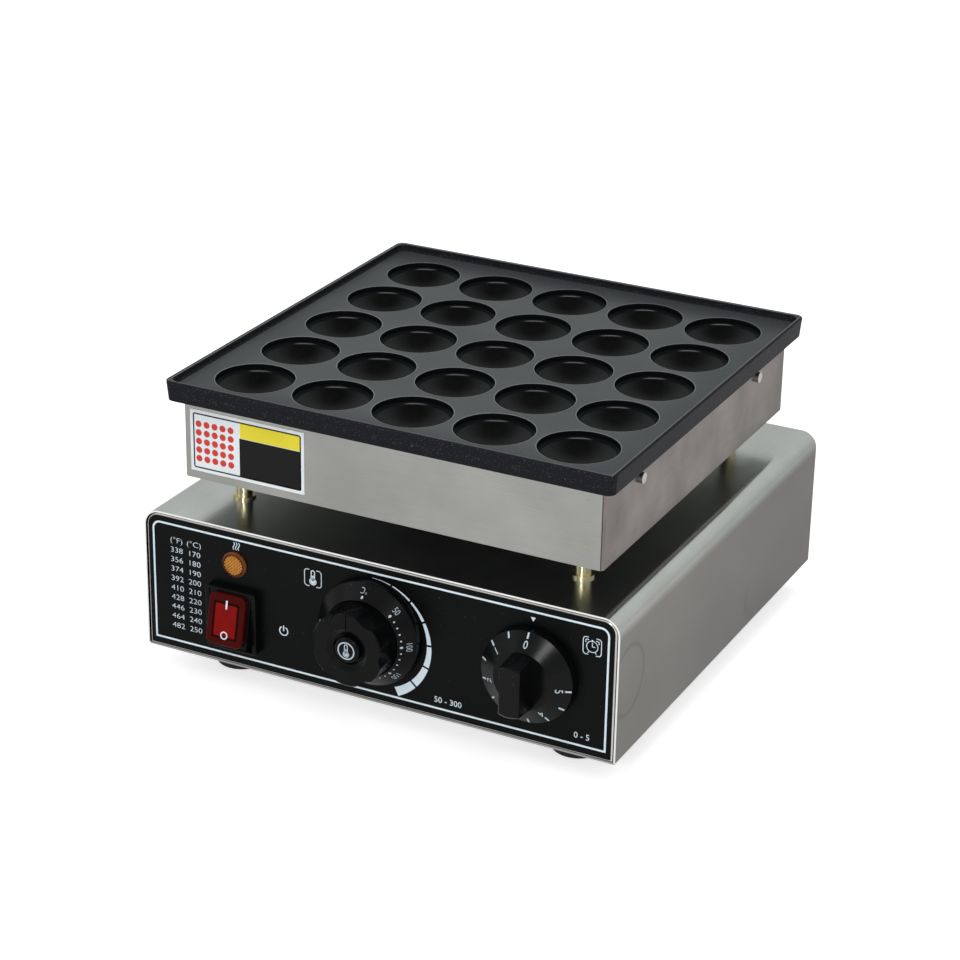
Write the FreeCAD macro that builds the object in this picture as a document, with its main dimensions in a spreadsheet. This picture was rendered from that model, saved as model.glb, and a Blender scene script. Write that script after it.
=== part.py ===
import FreeCAD, Part
import math
import os

import Sketcher
from FreeCAD import Placement, Rotation, Vector

# Tabletop electric mini-pancake grill: a cast plate with a square grid of round hollows sits
# on a sheet-steel heater box, and four hollow posts carry that box over a control base.
# +Z is up, the front faces -Y, and the origin is on the table under the centre of the base.
# Every length is in millimetres and every angle in degrees.

dimensions = {
    # base: folded steel box on four rubber feet
    "base_width": 300.0,
    "base_depth": 294.3,
    "base_height": 87.3,
    "base_sheet": 1.0,
    "base_bend": 10.0,
    "floor_sheet": 1.2,
    "floor_inset": 0.8,
    "floor_lip": 14.0,
    "end_panel_gap": 0.4,
    "end_panel_bend": 1.4,
    "end_panel_flange": 12.0,
    "end_panel_setback": 0.3,
    "overlay_film": 0.4,
    "overlay_side_margin": 1.5,
    "overlay_top_margin": 1.1,
    "overlay_bottom_margin": 1.3,
    "overlay_corner": 6.8,
    "vent_length": 46.0,
    "vent_width": 4.0,
    "vent_pitch": 11.0,
    "vent_count": 6.0,
    "rear_vent_height": 30.0,
    "foot_height": 18.0,
    "foot_radius": 15.5,
    "foot_top_radius": 16.3,
    "foot_edge": 1.2,
    "foot_inset_x": 40.0,
    "foot_inset_y": 40.0,
    "foot_screw_well": 8.0,
    "foot_screw_web": 6.0,
    "foot_screw_head_radius": 5.0,
    "foot_nut_flats": 9.0,
    "foot_nut_height": 2.5,
    # posts between the base and the heater box
    "post_inset_x": 23.1,
    "post_inset_y": 26.3,
    "post_gap": 18.2,
    "post_radius": 4.75,
    "post_thread": 4.0,
    "post_bore": 3.0,
    "post_tail": 9.0,
    "washer_radius": 6.65,
    "washer_thickness": 1.4,
    "washer_edge": 0.5,
    "nut_flats": 13.0,
    "nut_height": 5.0,
    # heater box
    "rim_overhang": 8.1,
    "head_height": 47.75,
    "head_sheet": 0.8,
    "head_seam": 1.5,
    "head_flange": 16.0,
    "head_floor_gap": 0.2,
    "insulation_gap": 3.5,
    "insulation_height": 18.0,
    "label_width": 74.6,
    "label_height": 37.6,
    "label_film": 0.2,
    "label_side_margin": 4.4,
    "label_bottom_margin": 4.8,
    # baking plate
    "plate_rim": 11.85,
    "plate_draft": 0.84,
    "plate_corner": 5.0,
    "plate_lip": 2.6,
    "lip_height": 4.5,
    "lip_root": 1.6,
    "lip_edge": 0.7,
    "well_corner": 6.0,
    "plate_thickness": 14.0,
    "plate_body_gap": 3.5,
    "hollow_web": 5.4,
    "hollow_rows": 5.0,
    "hollow_radius": 22.7,
    "hollow_margin": 12.5,
    "hollow_wall": 3.1,
    "hollow_depth": 10.0,
    "hollow_edge": 0.6,
    "lug_width": 16.0,
    "lug_length": 15.0,
    "lug_drop": 10.0,
    "side_screw_spacing": 169.4,
    "side_screw_drop": 18.0,
    # heating elements, their clamps and the sensor
    "element_radius": 3.9,
    "element_inner_run": 20.0,
    "element_pitch": 28.0,
    "element_end_room": 35.5,
    "element_tail_room": 22.5,
    "boss_radius": 5.0,
    "boss_spacing_y": 90.0,
    "bar_overhang": 2.1,
    "bar_width": 16.0,
    "bar_thickness": 2.0,
    "bulb_radius": 3.0,
    "bulb_length": 110.0,
    "capillary_radius": 1.0,
    "capillary_bend": 5.0,
    "capillary_run": 15.0,
    "capillary_entry": 8.0,
    "lead_radius": 1.3,
    "wire_radius": 1.1,
    "wire_bend": 4.0,
    "wire_step": 10.0,
    # controls
    "control_height": 45.9,
    "shaft_radius": 3.0,
    "shaft_hole": 5.0,
    "dial_draft": 0.45,
    "bezel_face_radius": 31.4,
    "bezel_bore": 23.2,
    "bezel_rim": 5.9,
    "bezel_height": 13.2,
    "bezel_floor": 2.5,
    "knob_gap": 0.7,
    "knob_radius": 22.0,
    "knob_start": 4.5,
    "knob_waist": 13.8,
    "knob_height": 29.3,
    "knob_edge": 0.6,
    "knob_lobes": 6.0,
    "lobe_round": 2.5,
    "flute_radius": 12.9,
    "flute_depth": 2.0,
    "dish_radius": 12.7,
    "dish_depth": 1.8,
    "cap_radius": 8.0,
    "cap_thickness": 1.6,
    "cap_gap": 1.2,
    "cap_proud": 2.2,
    "cap_round": 2.0,
    "pointer_width": 1.3,
    "pointer_depth": 0.5,
    "shaft_cover": 5.5,
    "thermostat_width": 40.0,
    "thermostat_height": 34.0,
    "thermostat_depth": 27.0,
    "timer_offset": 98.7,
    "timer_height": 44.3,
    "timer_side": 50.0,
    "timer_depth": 29.0,
    "skirt_face_radius": 27.5,
    "skirt_wall": 2.0,
    "skirt_rim": 6.2,
    "skirt_top_radius": 17.2,
    "skirt_top": 12.4,
    "skirt_gap": 1.2,
    "grip_width": 12.4,
    "grip_step": 0.6,
    "grip_taper": 1.6,
    "grip_height": 28.5,
    "grip_edge": 0.8,
    "dial_screw_spacing": 28.0,
    # rocker switch and lamp
    "switch_offset": 89.6,
    "switch_height": 32.0,
    "switch_frame_width": 33.3,
    "switch_frame_height": 38.6,
    "switch_frame_depth": 5.9,
    "switch_frame_corner": 2.2,
    "switch_rim_side": 2.65,
    "switch_rim_end": 1.6,
    "switch_wall": 0.8,
    "switch_depth": 29.0,
    "switch_well": 12.0,
    "rocker_side_gap": 0.4,
    "rocker_end_gap": 1.9,
    "rocker_face": 11.5,
    "rocker_step": 8.6,
    "rocker_keel": 6.0,
    "rocker_foot": 5.5,
    "rocker_taper": 1.0,
    "rocker_tilt": 12.0,
    "lens_side_inset": 1.65,
    "lens_end_inset": 0.5,
    "lens_corner": 4.4,
    "lens_edge": 0.8,
    "pivot_radius": 1.5,
    "pivot_reach": 1.5,
    "lamp_offset": 89.1,
    "lamp_height": 65.4,
    "lamp_flange_radius": 7.85,
    "lamp_flange": 2.0,
    "lamp_face_radius": 5.9,
    "lamp_recess": 0.5,
    "lamp_neck": 5.6,
    "lamp_body_radius": 6.4,
    "lamp_body_length": 22.0,
    # cord gland and terminal block
    "gland_offset": 95.0,
    "gland_height": 24.0,
    "gland_flats": 24.0,
    "gland_thread": 9.5,
    "gland_bore": 6.6,
    "gland_flange": 6.0,
    "gland_tail": 10.0,
    "gland_cap_length": 22.5,
    "gland_cap_radius": 11.0,
    "gland_cap_mouth": 5.0,
    "gland_cap_grip": 1.0,
    "gland_cap_collar": 9.0,
    "gland_cap_crown": 4.0,
    "gland_cap_wall": 2.5,
    "gland_seal_bore": 4.0,
    "gland_seal_length": 14.0,
    "gland_nut_height": 5.0,
    "terminal_offset": 60.0,
    "terminal_setback": 45.0,
    "terminal_length": 50.0,
    "terminal_width": 22.0,
    "terminal_height": 17.0,
    "terminal_bore": 2.0,
    "terminal_pitch": 16.0,
    # screws and clearances
    "screw_radius": 1.9,
    "screw_head_radius": 3.2,
    "screw_head_height": 2.2,
    "screw_length": 10.0,
    "screw_end_room": 1.0,
    "foot_screw_radius": 2.4,
    "screw_gap": 0.2,
    "thread_gap": 0.05,
    "running_gap": 0.05,
    "seat_gap": 0.1,
}

doc = FreeCAD.newDocument("MiniPancakeGrill")
sheet = doc.addObject("Spreadsheet::Sheet", "Sizes")
for row, (alias, number) in enumerate(dimensions.items(), start=1):
    sheet.set(f"A{row}", alias)
    sheet.set(f"B{row}", str(number))
    sheet.setAlias(f"B{row}", alias)
doc.recompute()


class Size:
    """A number together with the sheet expression that it comes from."""

    def __init__(self, number, text):
        self.number = float(number)
        self.text = text

    def __add__(self, other):
        other = as_size(other)
        return Size(self.number + other.number, f"({self.text} + {other.text})")

    def __sub__(self, other):
        other = as_size(other)
        return Size(self.number - other.number, f"({self.text} - {other.text})")

    def __mul__(self, other):
        other = as_size(other)
        return Size(self.number * other.number, f"({self.text} * {other.text})")

    def __truediv__(self, other):
        other = as_size(other)
        return Size(self.number / other.number, f"({self.text} / {other.text})")

    def __neg__(self):
        return Size(-self.number, f"(0 - {self.text})")

    def __radd__(self, other):
        return as_size(other) + self

    def __rsub__(self, other):
        return as_size(other) - self

    def __rmul__(self, other):
        return as_size(other) * self

    def __rtruediv__(self, other):
        return as_size(other) / self


def as_size(value):
    if isinstance(value, Size):
        return value
    return Size(value, f"({float(value)})")


def size(alias):
    return Size(sheet.get(alias), f"Sizes.{alias}")


def number(value):
    return as_size(value).number


def sine(angle):
    return Size(math.sin(math.radians(angle.number)), f"sin({angle.text})")


def cosine(angle):
    return Size(math.cos(math.radians(angle.number)), f"cos({angle.text})")


def bind(thing, path, value):
    """Sets one number of an object by the sheet expression behind it."""
    thing.setExpression(path, as_size(value).text)


def point(x, y, z):
    return Vector(number(x), number(y), number(z))


# ---- primitives ---------------------------------------------------------------------------

turn_to = {
    "Z": Rotation(),
    "-Z": Rotation(Vector(1, 0, 0), 180),
    "X": Rotation(Vector(0, 1, 0), 90),
    "-X": Rotation(Vector(0, 1, 0), -90),
    "Y": Rotation(Vector(1, 0, 0), -90),
    "-Y": Rotation(Vector(1, 0, 0), 90),
}


def place(thing, x, y, z, axis="Z"):
    """Puts an object's own origin at a point, with its own Z axis along the named axis."""
    thing.Placement = Placement(point(x, y, z), turn_to[axis])
    for letter, value in zip("xyz", (x, y, z)):
        bind(thing, f"Placement.Base.{letter}", value)
    return thing


def block(label, x, y, z):
    """A box between the pairs of limits x, y and z."""
    thing = doc.addObject("Part::Box", label)
    for edge, (low, high) in zip(("Length", "Width", "Height"), (x, y, z)):
        bind(thing, edge, high - low)
    return place(thing, x[0], y[0], z[0])


def rod(label, radius, length, x, y, z, axis="Z"):
    thing = doc.addObject("Part::Cylinder", label)
    bind(thing, "Radius", radius)
    bind(thing, "Height", length)
    return place(thing, x, y, z, axis)


def hexagon(label, flats, length, x, y, z, axis="Z"):
    thing = doc.addObject("Part::Prism", label)
    thing.Polygon = 6
    bind(thing, "Circumradius", flats / 1.7320508)
    bind(thing, "Height", length)
    return place(thing, x, y, z, axis)


def fused(label, *pieces):
    thing = doc.addObject("Part::MultiFuse", label)
    thing.Shapes = list(pieces)
    return thing


def cut(label, base, *tools):
    thing = doc.addObject("Part::Cut", label)
    thing.Base = base
    thing.Tool = tools[0] if len(tools) == 1 else fused(f"{label}_tools", *tools)
    return thing


def group(label, pieces):
    """Several equal solids that share one node."""
    thing = doc.addObject("Part::Compound", label)
    thing.Links = list(pieces)
    return thing


def nut(label, flats, height, bore, x, y, z, axis="Z"):
    outside = hexagon(f"{label}_flats", flats, height, x, y, z, axis)
    return cut(label, outside, rod(f"{label}_bore", bore, height, x, y, z, axis))


def pan_screw(label, x, y, z, axis, shank, length, head_radius, head_height):
    """A screw whose head seats at the point and whose shank runs along the axis."""
    opposite = axis[1:] if axis.startswith("-") else f"-{axis}"
    return fused(
        label,
        rod(f"{label}_head", head_radius, head_height, x, y, z, opposite),
        rod(f"{label}_shank", shank, length, x, y, z, axis),
    )


# ---- bodies made from sketches ------------------------------------------------------------

plane_across = {"X": "YZ_Plane", "Y": "XZ_Plane", "Z": "XY_Plane"}


def origin_part(body, role):
    return next(item for item in body.Origin.OriginFeatures if item.Role == role)


def new_body(label):
    return doc.addObject("PartDesign::Body", label)


def lock(drawing, geometry, end, across, up):
    """Holds one point of a sketch at its distances from the sketch's origin."""
    for kind, value in (("DistanceX", across), ("DistanceY", up)):
        index = drawing.addConstraint(Sketcher.Constraint(kind, geometry, end, number(value)))
        bind(drawing, f"Constraints[{index}]", value)


def polygon(*corners):
    def draw(drawing):
        first = drawing.GeometryCount
        spots = [point(across, up, 0) for across, up in corners]
        for start, end in zip(spots, spots[1:] + spots[:1]):
            drawing.addGeometry(Part.LineSegment(start, end), False)
        for index, (across, up) in enumerate(corners):
            following = first + (index + 1) % len(corners)
            joined = Sketcher.Constraint("Coincident", first + index, 2, following, 1)
            drawing.addConstraint(joined)
            lock(drawing, first + index, 1, across, up)

    return draw


def rectangle(low_across, high_across, low_up, high_up):
    return polygon(
        (low_across, low_up), (high_across, low_up), (high_across, high_up), (low_across, high_up)
    )


def arch(side, low_up, high_up, radius):
    """A rectangle about the middle, -side to side, with its two upper corners rounded."""
    turn = as_size(radius)
    shoulder = high_up - turn
    flat = side - turn
    spots = ((-side, low_up), (side, low_up), (side, shoulder), (flat, high_up), (-flat, high_up),
             (-side, shoulder))
    lean = (turn * 0.7071067811865476)
    crowns = {2: (flat + lean, shoulder + lean), 4: (-flat - lean, shoulder + lean)}

    def draw(drawing):
        first = drawing.GeometryCount
        places = [point(across, up, 0) for across, up in spots]
        for index, (start, end) in enumerate(zip(places, places[1:] + places[:1])):
            if index in crowns:
                drawing.addGeometry(Part.Arc(start, point(*crowns[index], 0), end), False)
            else:
                drawing.addGeometry(Part.LineSegment(start, end), False)
        ends = [(1, 2), (1, 2), (1, 2), (1, 2), (1, 2), (1, 2)]
        for index in crowns:
            begin = drawing.getPoint(first + index, 1)
            forward = (begin - places[index]).Length < 1e-6
            ends[index] = (1, 2) if forward else (2, 1)
        for index, (across, up) in enumerate(spots):
            following = (index + 1) % len(spots)
            drawing.addConstraint(Sketcher.Constraint(
                "Coincident", first + index, ends[index][1], first + following, ends[following][0],
            ))
        for index, (across, up) in enumerate(spots):
            lock(drawing, first + index, ends[index][0], across, up)
        for index in crowns:
            constraint = drawing.addConstraint(
                Sketcher.Constraint("Radius", first + index, number(turn)))
            bind(drawing, f"Constraints[{constraint}]", turn)

    return draw


def circle(across, up, radius):
    def draw(drawing):
        round_line = Part.Circle(point(across, up, 0), Vector(0, 0, 1), number(radius))
        index = drawing.addGeometry(round_line, False)
        lock(drawing, index, 3, across, up)
        constraint = drawing.addConstraint(Sketcher.Constraint("Radius", index, number(radius)))
        bind(drawing, f"Constraints[{constraint}]", radius)

    return draw


def sketch(body, axis, at, outlines):
    """A sketch across the axis: it reads (Y, Z), (X, Z) or (X, Y)."""
    drawing = body.newObject("Sketcher::SketchObject", f"{body.Label}_sketch")
    drawing.AttachmentSupport = [(origin_part(body, plane_across[axis]), "")]
    drawing.MapMode = "FlatFace"
    bind(drawing, "AttachmentOffset.Base.z", -at if axis == "Y" else at)
    for outline in outlines:
        outline(drawing)
    return drawing


def extruded(body, kind, axis, low, high, outlines):
    drawing = sketch(body, axis, as_size(high if axis == "Y" else low), outlines)
    feature = body.newObject(f"PartDesign::{kind}", f"{body.Label}_{kind.lower()}")
    feature.Profile = drawing
    bind(feature, "Length", high - low)
    return feature


def pad(body, axis, low, high, *outlines):
    return extruded(body, "Pad", axis, low, high, outlines)


def pocket(body, axis, low, high, *outlines):
    """Cuts between low and high along the axis, and makes sure that it cut something."""
    doc.recompute()
    before = body.Shape.Volume
    feature = extruded(body, "Pocket", axis, low, high, outlines)
    feature.Reversed = True
    doc.recompute()
    if body.Shape.Volume > before - 1e-3:
        raise RuntimeError(f"{feature.Label} cuts nothing")
    return feature


def turned(body, *corners):
    """A solid of revolution about the body's Z axis, from (radius, height) corners."""
    drawing = sketch(body, "Y", as_size(0), [polygon(*corners)])
    feature = body.newObject("PartDesign::Revolution", f"{body.Label}_turned")
    feature.Profile = drawing
    feature.ReferenceAxis = (drawing, ["V_Axis"])
    feature.Angle = 360.0
    return feature


def turned_cut(body, *corners):
    """Cuts a ring out of a body, from (radius, height) corners about its Z axis."""
    doc.recompute()
    before = body.Shape.Volume
    drawing = sketch(body, "Y", as_size(0), [polygon(*corners)])
    feature = body.newObject("PartDesign::Groove", f"{body.Label}_groove")
    feature.Profile = drawing
    feature.ReferenceAxis = (drawing, ["V_Axis"])
    feature.Angle = 360.0
    doc.recompute()
    if body.Shape.Volume > before - 1e-3:
        raise RuntimeError(f"{feature.Label} cuts nothing")
    return feature


def soften(body, radius, wanted, kind="Fillet"):
    """Rounds or chamfers the edges that the test picks."""
    doc.recompute()
    base = body.Tip
    names = [f"Edge{n}" for n, edge in enumerate(base.Shape.Edges, start=1) if wanted(edge)]
    if not names:
        raise RuntimeError(f"{body.Label} has no such edge to soften")
    feature = body.newObject(f"PartDesign::{kind}", f"{body.Label}_{kind.lower()}")
    feature.Base = (base, names)
    bind(feature, "Size" if kind == "Chamfer" else "Radius", radius)
    return feature


def limits(edge, letter):
    box = edge.BoundBox
    return {
        "X": (box.XMin, box.XMax),
        "Y": (box.YMin, box.YMax),
        "Z": (box.ZMin, box.ZMax),
    }[letter]


def lies_at(edge, letter, value, slack=0.01):
    low, high = limits(edge, letter)
    return abs(low - number(value)) < slack and abs(high - number(value)) < slack


def runs_along(edge, letter):
    others = [other for other in "XYZ" if other != letter]
    return all(limits(edge, other)[1] - limits(edge, other)[0] < 0.01 for other in others)


# ---- tubes and wires along a route --------------------------------------------------------


def bent_path(spots, bend):
    """Straight runs joined by tangent arcs of one radius, as a wire."""
    edges = []
    start = spots[0]
    for before, corner, after in zip(spots, spots[1:], spots[2:]):
        into = (corner - before).normalize()
        out = (after - corner).normalize()
        half = into.getAngle(out) / 2
        reach = bend * abs(Vector(into).cross(out).Length) / (1 + into.dot(out))
        arc_start = corner - into * reach
        arc_end = corner + out * reach
        inward = (out - into).normalize()
        centre = corner + inward * ((reach**2 + bend**2) ** 0.5)
        middle = centre - inward * bend
        if (arc_start - start).Length > 1e-4 and half > 0:
            edges.append(Part.LineSegment(start, arc_start).toShape())
        edges.append(Part.Arc(arc_start, middle, arc_end).toShape())
        start = arc_end
    edges.append(Part.LineSegment(start, spots[-1]).toShape())
    return Part.Wire(edges)


def bent_rod(label, radius, bend, spots):
    path = bent_path([point(*spot) for spot in spots], number(bend))
    first = path.Edges[0]
    direction = first.tangentAt(first.FirstParameter)
    ring = Part.Wire(Part.Circle(path.Vertexes[0].Point, direction, number(radius)).toShape())
    thing = doc.addObject("Part::Feature", label)
    thing.Shape = path.makePipeShell([ring], True, False)
    return thing


# ---- heights and places shared by several pieces ------------------------------------------

half_width = size("base_width") / 2
half_depth = size("base_depth") / 2
base_sheet = size("base_sheet")
floor_bottom = size("foot_height")
floor_top = floor_bottom + size("floor_sheet")
base_top = floor_bottom + size("base_height")
cover_underside = base_top - base_sheet
head_bottom = base_top + size("post_gap")
head_sheet = size("head_sheet")
head_floor = head_bottom + head_sheet
head_floor_top = head_floor + head_sheet
rim_bottom = head_bottom + size("head_height")
lip_top = rim_bottom + size("plate_rim")
surface = lip_top - size("lip_height")
plate_bottom = surface - size("plate_thickness")
hollow_pitch = size("hollow_radius") * 2 + size("hollow_web")
grid_half = hollow_pitch * (size("hollow_rows") - 1) / 2
well_half = grid_half + size("hollow_radius") + size("hollow_margin")
plate_half = well_half + size("plate_lip")
head_half = plate_half - size("rim_overhang")
head_inside = head_half - head_sheet
body_half = head_inside - size("plate_body_gap")
post_x = head_half - size("post_inset_x")
post_y = head_half - size("post_inset_y")
foot_x = half_width - size("foot_inset_x")
foot_y = half_depth - size("foot_inset_y")
panel_face = -half_depth + size("end_panel_setback")
panel_back = panel_face + base_sheet
overlay_face = panel_face - size("overlay_film")
rear_face = half_depth - size("end_panel_setback")
rear_back = rear_face - base_sheet
dial_z = floor_bottom + size("control_height")
timer_x = size("timer_offset")
timer_z = floor_bottom + size("timer_height")
switch_x = -size("switch_offset")
switch_z = floor_bottom + size("switch_height")
mouth_half_width = size("switch_frame_width") / 2 - size("switch_rim_side")
mouth_half_height = size("switch_frame_height") / 2 - size("switch_rim_end")
lamp_x = -size("lamp_offset")
lamp_z = floor_bottom + size("lamp_height")
gland_x = -size("gland_offset")
gland_z = floor_bottom + size("gland_height")
screw_hole = size("screw_radius") + size("screw_gap")
thread_hole = size("post_thread") + size("screw_gap")
foot_screw_hole = size("foot_screw_radius") + size("screw_gap")
shaft_hole = size("shaft_hole")
corners = (
    ("front_left", -1, -1),
    ("front_right", 1, -1),
    ("rear_left", -1, 1),
    ("rear_right", 1, 1),
)


def small_screw(label, x, y, z, axis):
    return pan_screw(
        label, x, y, z, axis, size("screw_radius"), size("screw_length"),
        size("screw_head_radius"), size("screw_head_height"),
    )


# ---- base box -----------------------------------------------------------------------------


def make_base_cover():
    """One sheet folded over the top and both sides, with a lip turned in along each side."""
    body = new_body("base_cover")
    bend = size("base_bend")
    pad(body, "Y", -half_depth, half_depth, arch(half_width, floor_top, base_top, bend))
    inside = half_width - base_sheet
    lip_top_level = floor_top + base_sheet
    hollow = arch(inside, lip_top_level, cover_underside, bend - base_sheet)
    pocket(body, "Y", -half_depth, half_depth, hollow)
    mouth = inside - size("floor_lip")
    pocket(body, "Y", -half_depth, half_depth, rectangle(-mouth, mouth, floor_top, lip_top_level))
    clear = size("end_panel_flange") + size("end_panel_setback") + size("end_panel_gap")
    for low, high in ((-half_depth, -half_depth + clear), (half_depth - clear, half_depth)):
        pocket(body, "Y", low, high, rectangle(-inside, inside, floor_top, lip_top_level))
    holes = [circle(sx * post_x, sy * post_y, thread_hole) for _, sx, sy in corners]
    pocket(body, "Z", cover_underside, base_top, *holes)
    lip_x = inside - size("floor_lip") / 2
    lip_holes = [circle(sx * lip_x, sy * (half_depth / 2), screw_hole) for _, sx, sy in corners]
    pocket(body, "Z", floor_top, lip_top_level, *lip_holes)


def make_end_panel(label, front, cutouts):
    """A shallow tray that closes one end of the cover, its flanges turned inwards."""
    body = new_body(label)
    side = half_width - base_sheet - size("end_panel_gap")
    top = cover_underside - size("end_panel_gap")
    bottom = floor_top + size("seat_gap")
    corner = size("base_bend") - base_sheet - size("end_panel_gap")
    flange = size("end_panel_flange")
    low, high = (panel_face, panel_face + flange) if front else (rear_face - flange, rear_face)
    face = panel_face if front else rear_face
    pad(body, "Y", low, high, arch(side, bottom, top, corner))
    soften(body, size("end_panel_bend"), lambda e: lies_at(e, "Y", face))
    inner = (low + base_sheet, high) if front else (low, high - base_sheet)
    hollow = arch(side - base_sheet, bottom + base_sheet, top - base_sheet, corner - base_sheet)
    pocket(body, "Y", *inner, hollow)
    wall = (low, low + base_sheet) if front else (high - base_sheet, high)
    pocket(body, "Y", *wall, *cutouts)
    return body


def switch_cutout(clearance):
    across = mouth_half_width + size("switch_wall") + clearance
    up = mouth_half_height + size("switch_wall") + clearance
    return rectangle(switch_x - across, switch_x + across, switch_z - up, switch_z + up)


def dial_holes(screw_room):
    """A hole for each dial's shaft and one for each of the two screws beside it."""
    reach = size("dial_screw_spacing") / 2
    holes = []
    for x, z in ((as_size(0), dial_z), (timer_x, timer_z)):
        holes.append(circle(x, z, shaft_hole))
        holes += [circle(x + side * reach, z, screw_room) for side in (-1, 1)]
    return holes


def make_control_panel():
    gap = size("screw_gap")
    lamp_hole = circle(lamp_x, lamp_z, size("lamp_neck") + gap)
    make_end_panel("control_panel", True, [switch_cutout(gap), lamp_hole, *dial_holes(screw_hole)])
    overlay = new_body("panel_overlay")
    side = half_width - base_sheet - size("end_panel_gap") - size("overlay_side_margin")
    bottom = floor_top + size("seat_gap") + size("overlay_bottom_margin")
    top = cover_underside - size("end_panel_gap") - size("overlay_top_margin")
    pad(overlay, "Y", overlay_face, panel_face, arch(side, bottom, top, size("overlay_corner")))
    windows = dial_holes(size("screw_head_radius") + gap)
    pocket(overlay, "Y", overlay_face, panel_face, switch_cutout(gap), lamp_hole, *windows)


def vent_slots(centre, along_first):
    """A row of slots about the middle, each vent_length long, with its pitch across them."""
    width = size("vent_width")
    half = size("vent_length") / 2
    count = int(number(size("vent_count")))
    row = size("vent_pitch") * (count - 1) + width
    slots = []
    for index in range(count):
        start = index * size("vent_pitch") - row / 2
        across = (centre - half, centre + half)
        up = (start, start + width)
        slots.append(rectangle(*across, *up) if along_first else rectangle(*up, *across))
    return slots


def make_rear_panel():
    middle = size("rear_vent_height") + floor_bottom + size("vent_length") / 2
    reach = size("gland_thread") + size("screw_gap")
    make_end_panel("rear_panel", False, [circle(gland_x, gland_z, reach), *vent_slots(middle, False)])


def make_bottom_plate():
    body = new_body("bottom_plate")
    inset = size("floor_inset")
    outline = rectangle(-half_width + inset, half_width - inset, -half_depth + inset, half_depth - inset)
    pad(body, "Z", floor_bottom, floor_top, outline)
    slots = vent_slots(as_size(0), True)
    feet = [circle(sx * foot_x, sy * foot_y, foot_screw_hole) for _, sx, sy in corners]
    lip_x = half_width - base_sheet - size("floor_lip") / 2
    lips = [circle(sx * lip_x, sy * (half_depth / 2), screw_hole) for _, sx, sy in corners]
    pocket(body, "Z", floor_bottom, floor_top, *slots, *feet, *lips)
    group("cover_screws", [
        small_screw(f"cover_screw_{name}", sx * lip_x, sy * (half_depth / 2), floor_bottom, "Z")
        for name, sx, sy in corners
    ])


def make_feet():
    well = size("foot_screw_well")
    web = size("foot_screw_web")
    screws = []
    nuts = []
    for name, sx, sy in corners:
        body = new_body(f"foot_{name}")
        bore = foot_screw_hole
        turned(
            body, (well, 0), (size("foot_radius"), 0), (size("foot_top_radius"), floor_bottom),
            (bore, floor_bottom), (bore, floor_bottom - web), (well, floor_bottom - web),
        )
        soften(body, size("foot_edge"), lambda e: lies_at(e, "Z", 0) and e.Length > 6.5 * number(well))
        place(body, sx * foot_x, sy * foot_y, as_size(0))
        seat = floor_bottom - web
        top = floor_top + size("foot_nut_height")
        screws.append(pan_screw(
            f"foot_screw_{name}", sx * foot_x, sy * foot_y, seat, "Z", size("foot_screw_radius"),
            top - seat, size("foot_screw_head_radius"), size("screw_head_height"),
        ))
        nut_bore = size("foot_screw_radius") + size("thread_gap")
        nuts.append(nut(
            f"foot_nut_{name}", size("foot_nut_flats"), size("foot_nut_height"), nut_bore,
            sx * foot_x, sy * foot_y, floor_top,
        ))
    group("foot_screws", screws)
    group("foot_nuts", nuts)


# ---- posts --------------------------------------------------------------------------------


def make_posts():
    bore = size("post_bore")
    thread = size("post_thread")
    outer = size("post_radius")
    tail = size("post_tail")
    washer = size("washer_thickness")
    washers = []
    low_nuts = []
    high_nuts = []
    for name, sx, sy in corners:
        x = sx * post_x
        y = sy * post_y
        post = new_body(f"support_post_{name}")
        turned(
            post, (bore, cover_underside - tail), (thread, cover_underside - tail),
            (thread, base_top + washer), (outer, base_top + washer), (outer, head_floor),
            (thread, head_floor), (thread, head_floor_top + tail), (bore, head_floor_top + tail),
        )
        place(post, x, y, as_size(0))
        ring = rod(f"washer_disc_{name}", size("washer_radius"), washer, x, y, base_top)
        washers.append(cut(
            f"washer_{name}", ring,
            rod(f"washer_hole_{name}", thread + size("thread_gap"), washer, x, y, base_top),
        ))
        nut_size = (size("nut_flats"), size("nut_height"), thread + size("thread_gap"))
        low_nuts.append(nut(f"base_nut_{name}", *nut_size, x, y, cover_underside, "-Z"))
        high_nuts.append(nut(f"head_nut_{name}", *nut_size, x, y, head_floor_top))
    group("post_washers", washers)
    group("post_nuts_base", low_nuts)
    group("post_nuts_head", high_nuts)


# ---- heater box ---------------------------------------------------------------------------


def make_head_panel(label, front):
    """A flat end panel that laps over the side panels' flanges, with a lip under the box."""
    body = new_body(label)
    side = head_half - size("head_seam")
    flange = size("head_flange")
    face, back = (-head_half, -head_half + head_sheet) if front else (head_half - head_sheet, head_half)
    pad(body, "Y", face, back, rectangle(-side, side, head_bottom, rim_bottom))
    lip = head_half - flange - size("head_seam")
    low, high = (-head_half, -head_half + flange) if front else (head_half - flange, head_half)
    pad(body, "Y", low, high, rectangle(-lip, lip, head_bottom, head_floor))


def make_head_side(label, sign):
    """A side panel with a flange turned in behind the end panel at each end."""
    body = new_body(label)
    outer = sign * head_half
    inner = sign * (head_half - head_sheet)
    flange_end = sign * (head_half - size("head_flange"))
    edge = head_half - head_sheet
    turn_in = edge - head_sheet
    outline = polygon(
        (outer, -edge), (outer, edge), (flange_end, edge), (flange_end, turn_in),
        (inner, turn_in), (inner, -turn_in), (flange_end, -turn_in), (flange_end, -edge),
    )
    pad(body, "Z", head_bottom, rim_bottom, outline)
    soften(
        body, size("head_seam") / 2 + head_sheet / 2,
        lambda e: runs_along(e, "Z") and lies_at(e, "X", outer),
    )
    spots = [circle(sy * (size("side_screw_spacing") / 2), side_screw_z(), screw_hole) for sy in (-1, 1)]
    low, high = (inner, outer) if sign > 0 else (outer, inner)
    pocket(body, "X", low, high, *spots)


def side_screw_z():
    return surface - size("side_screw_drop")


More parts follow.
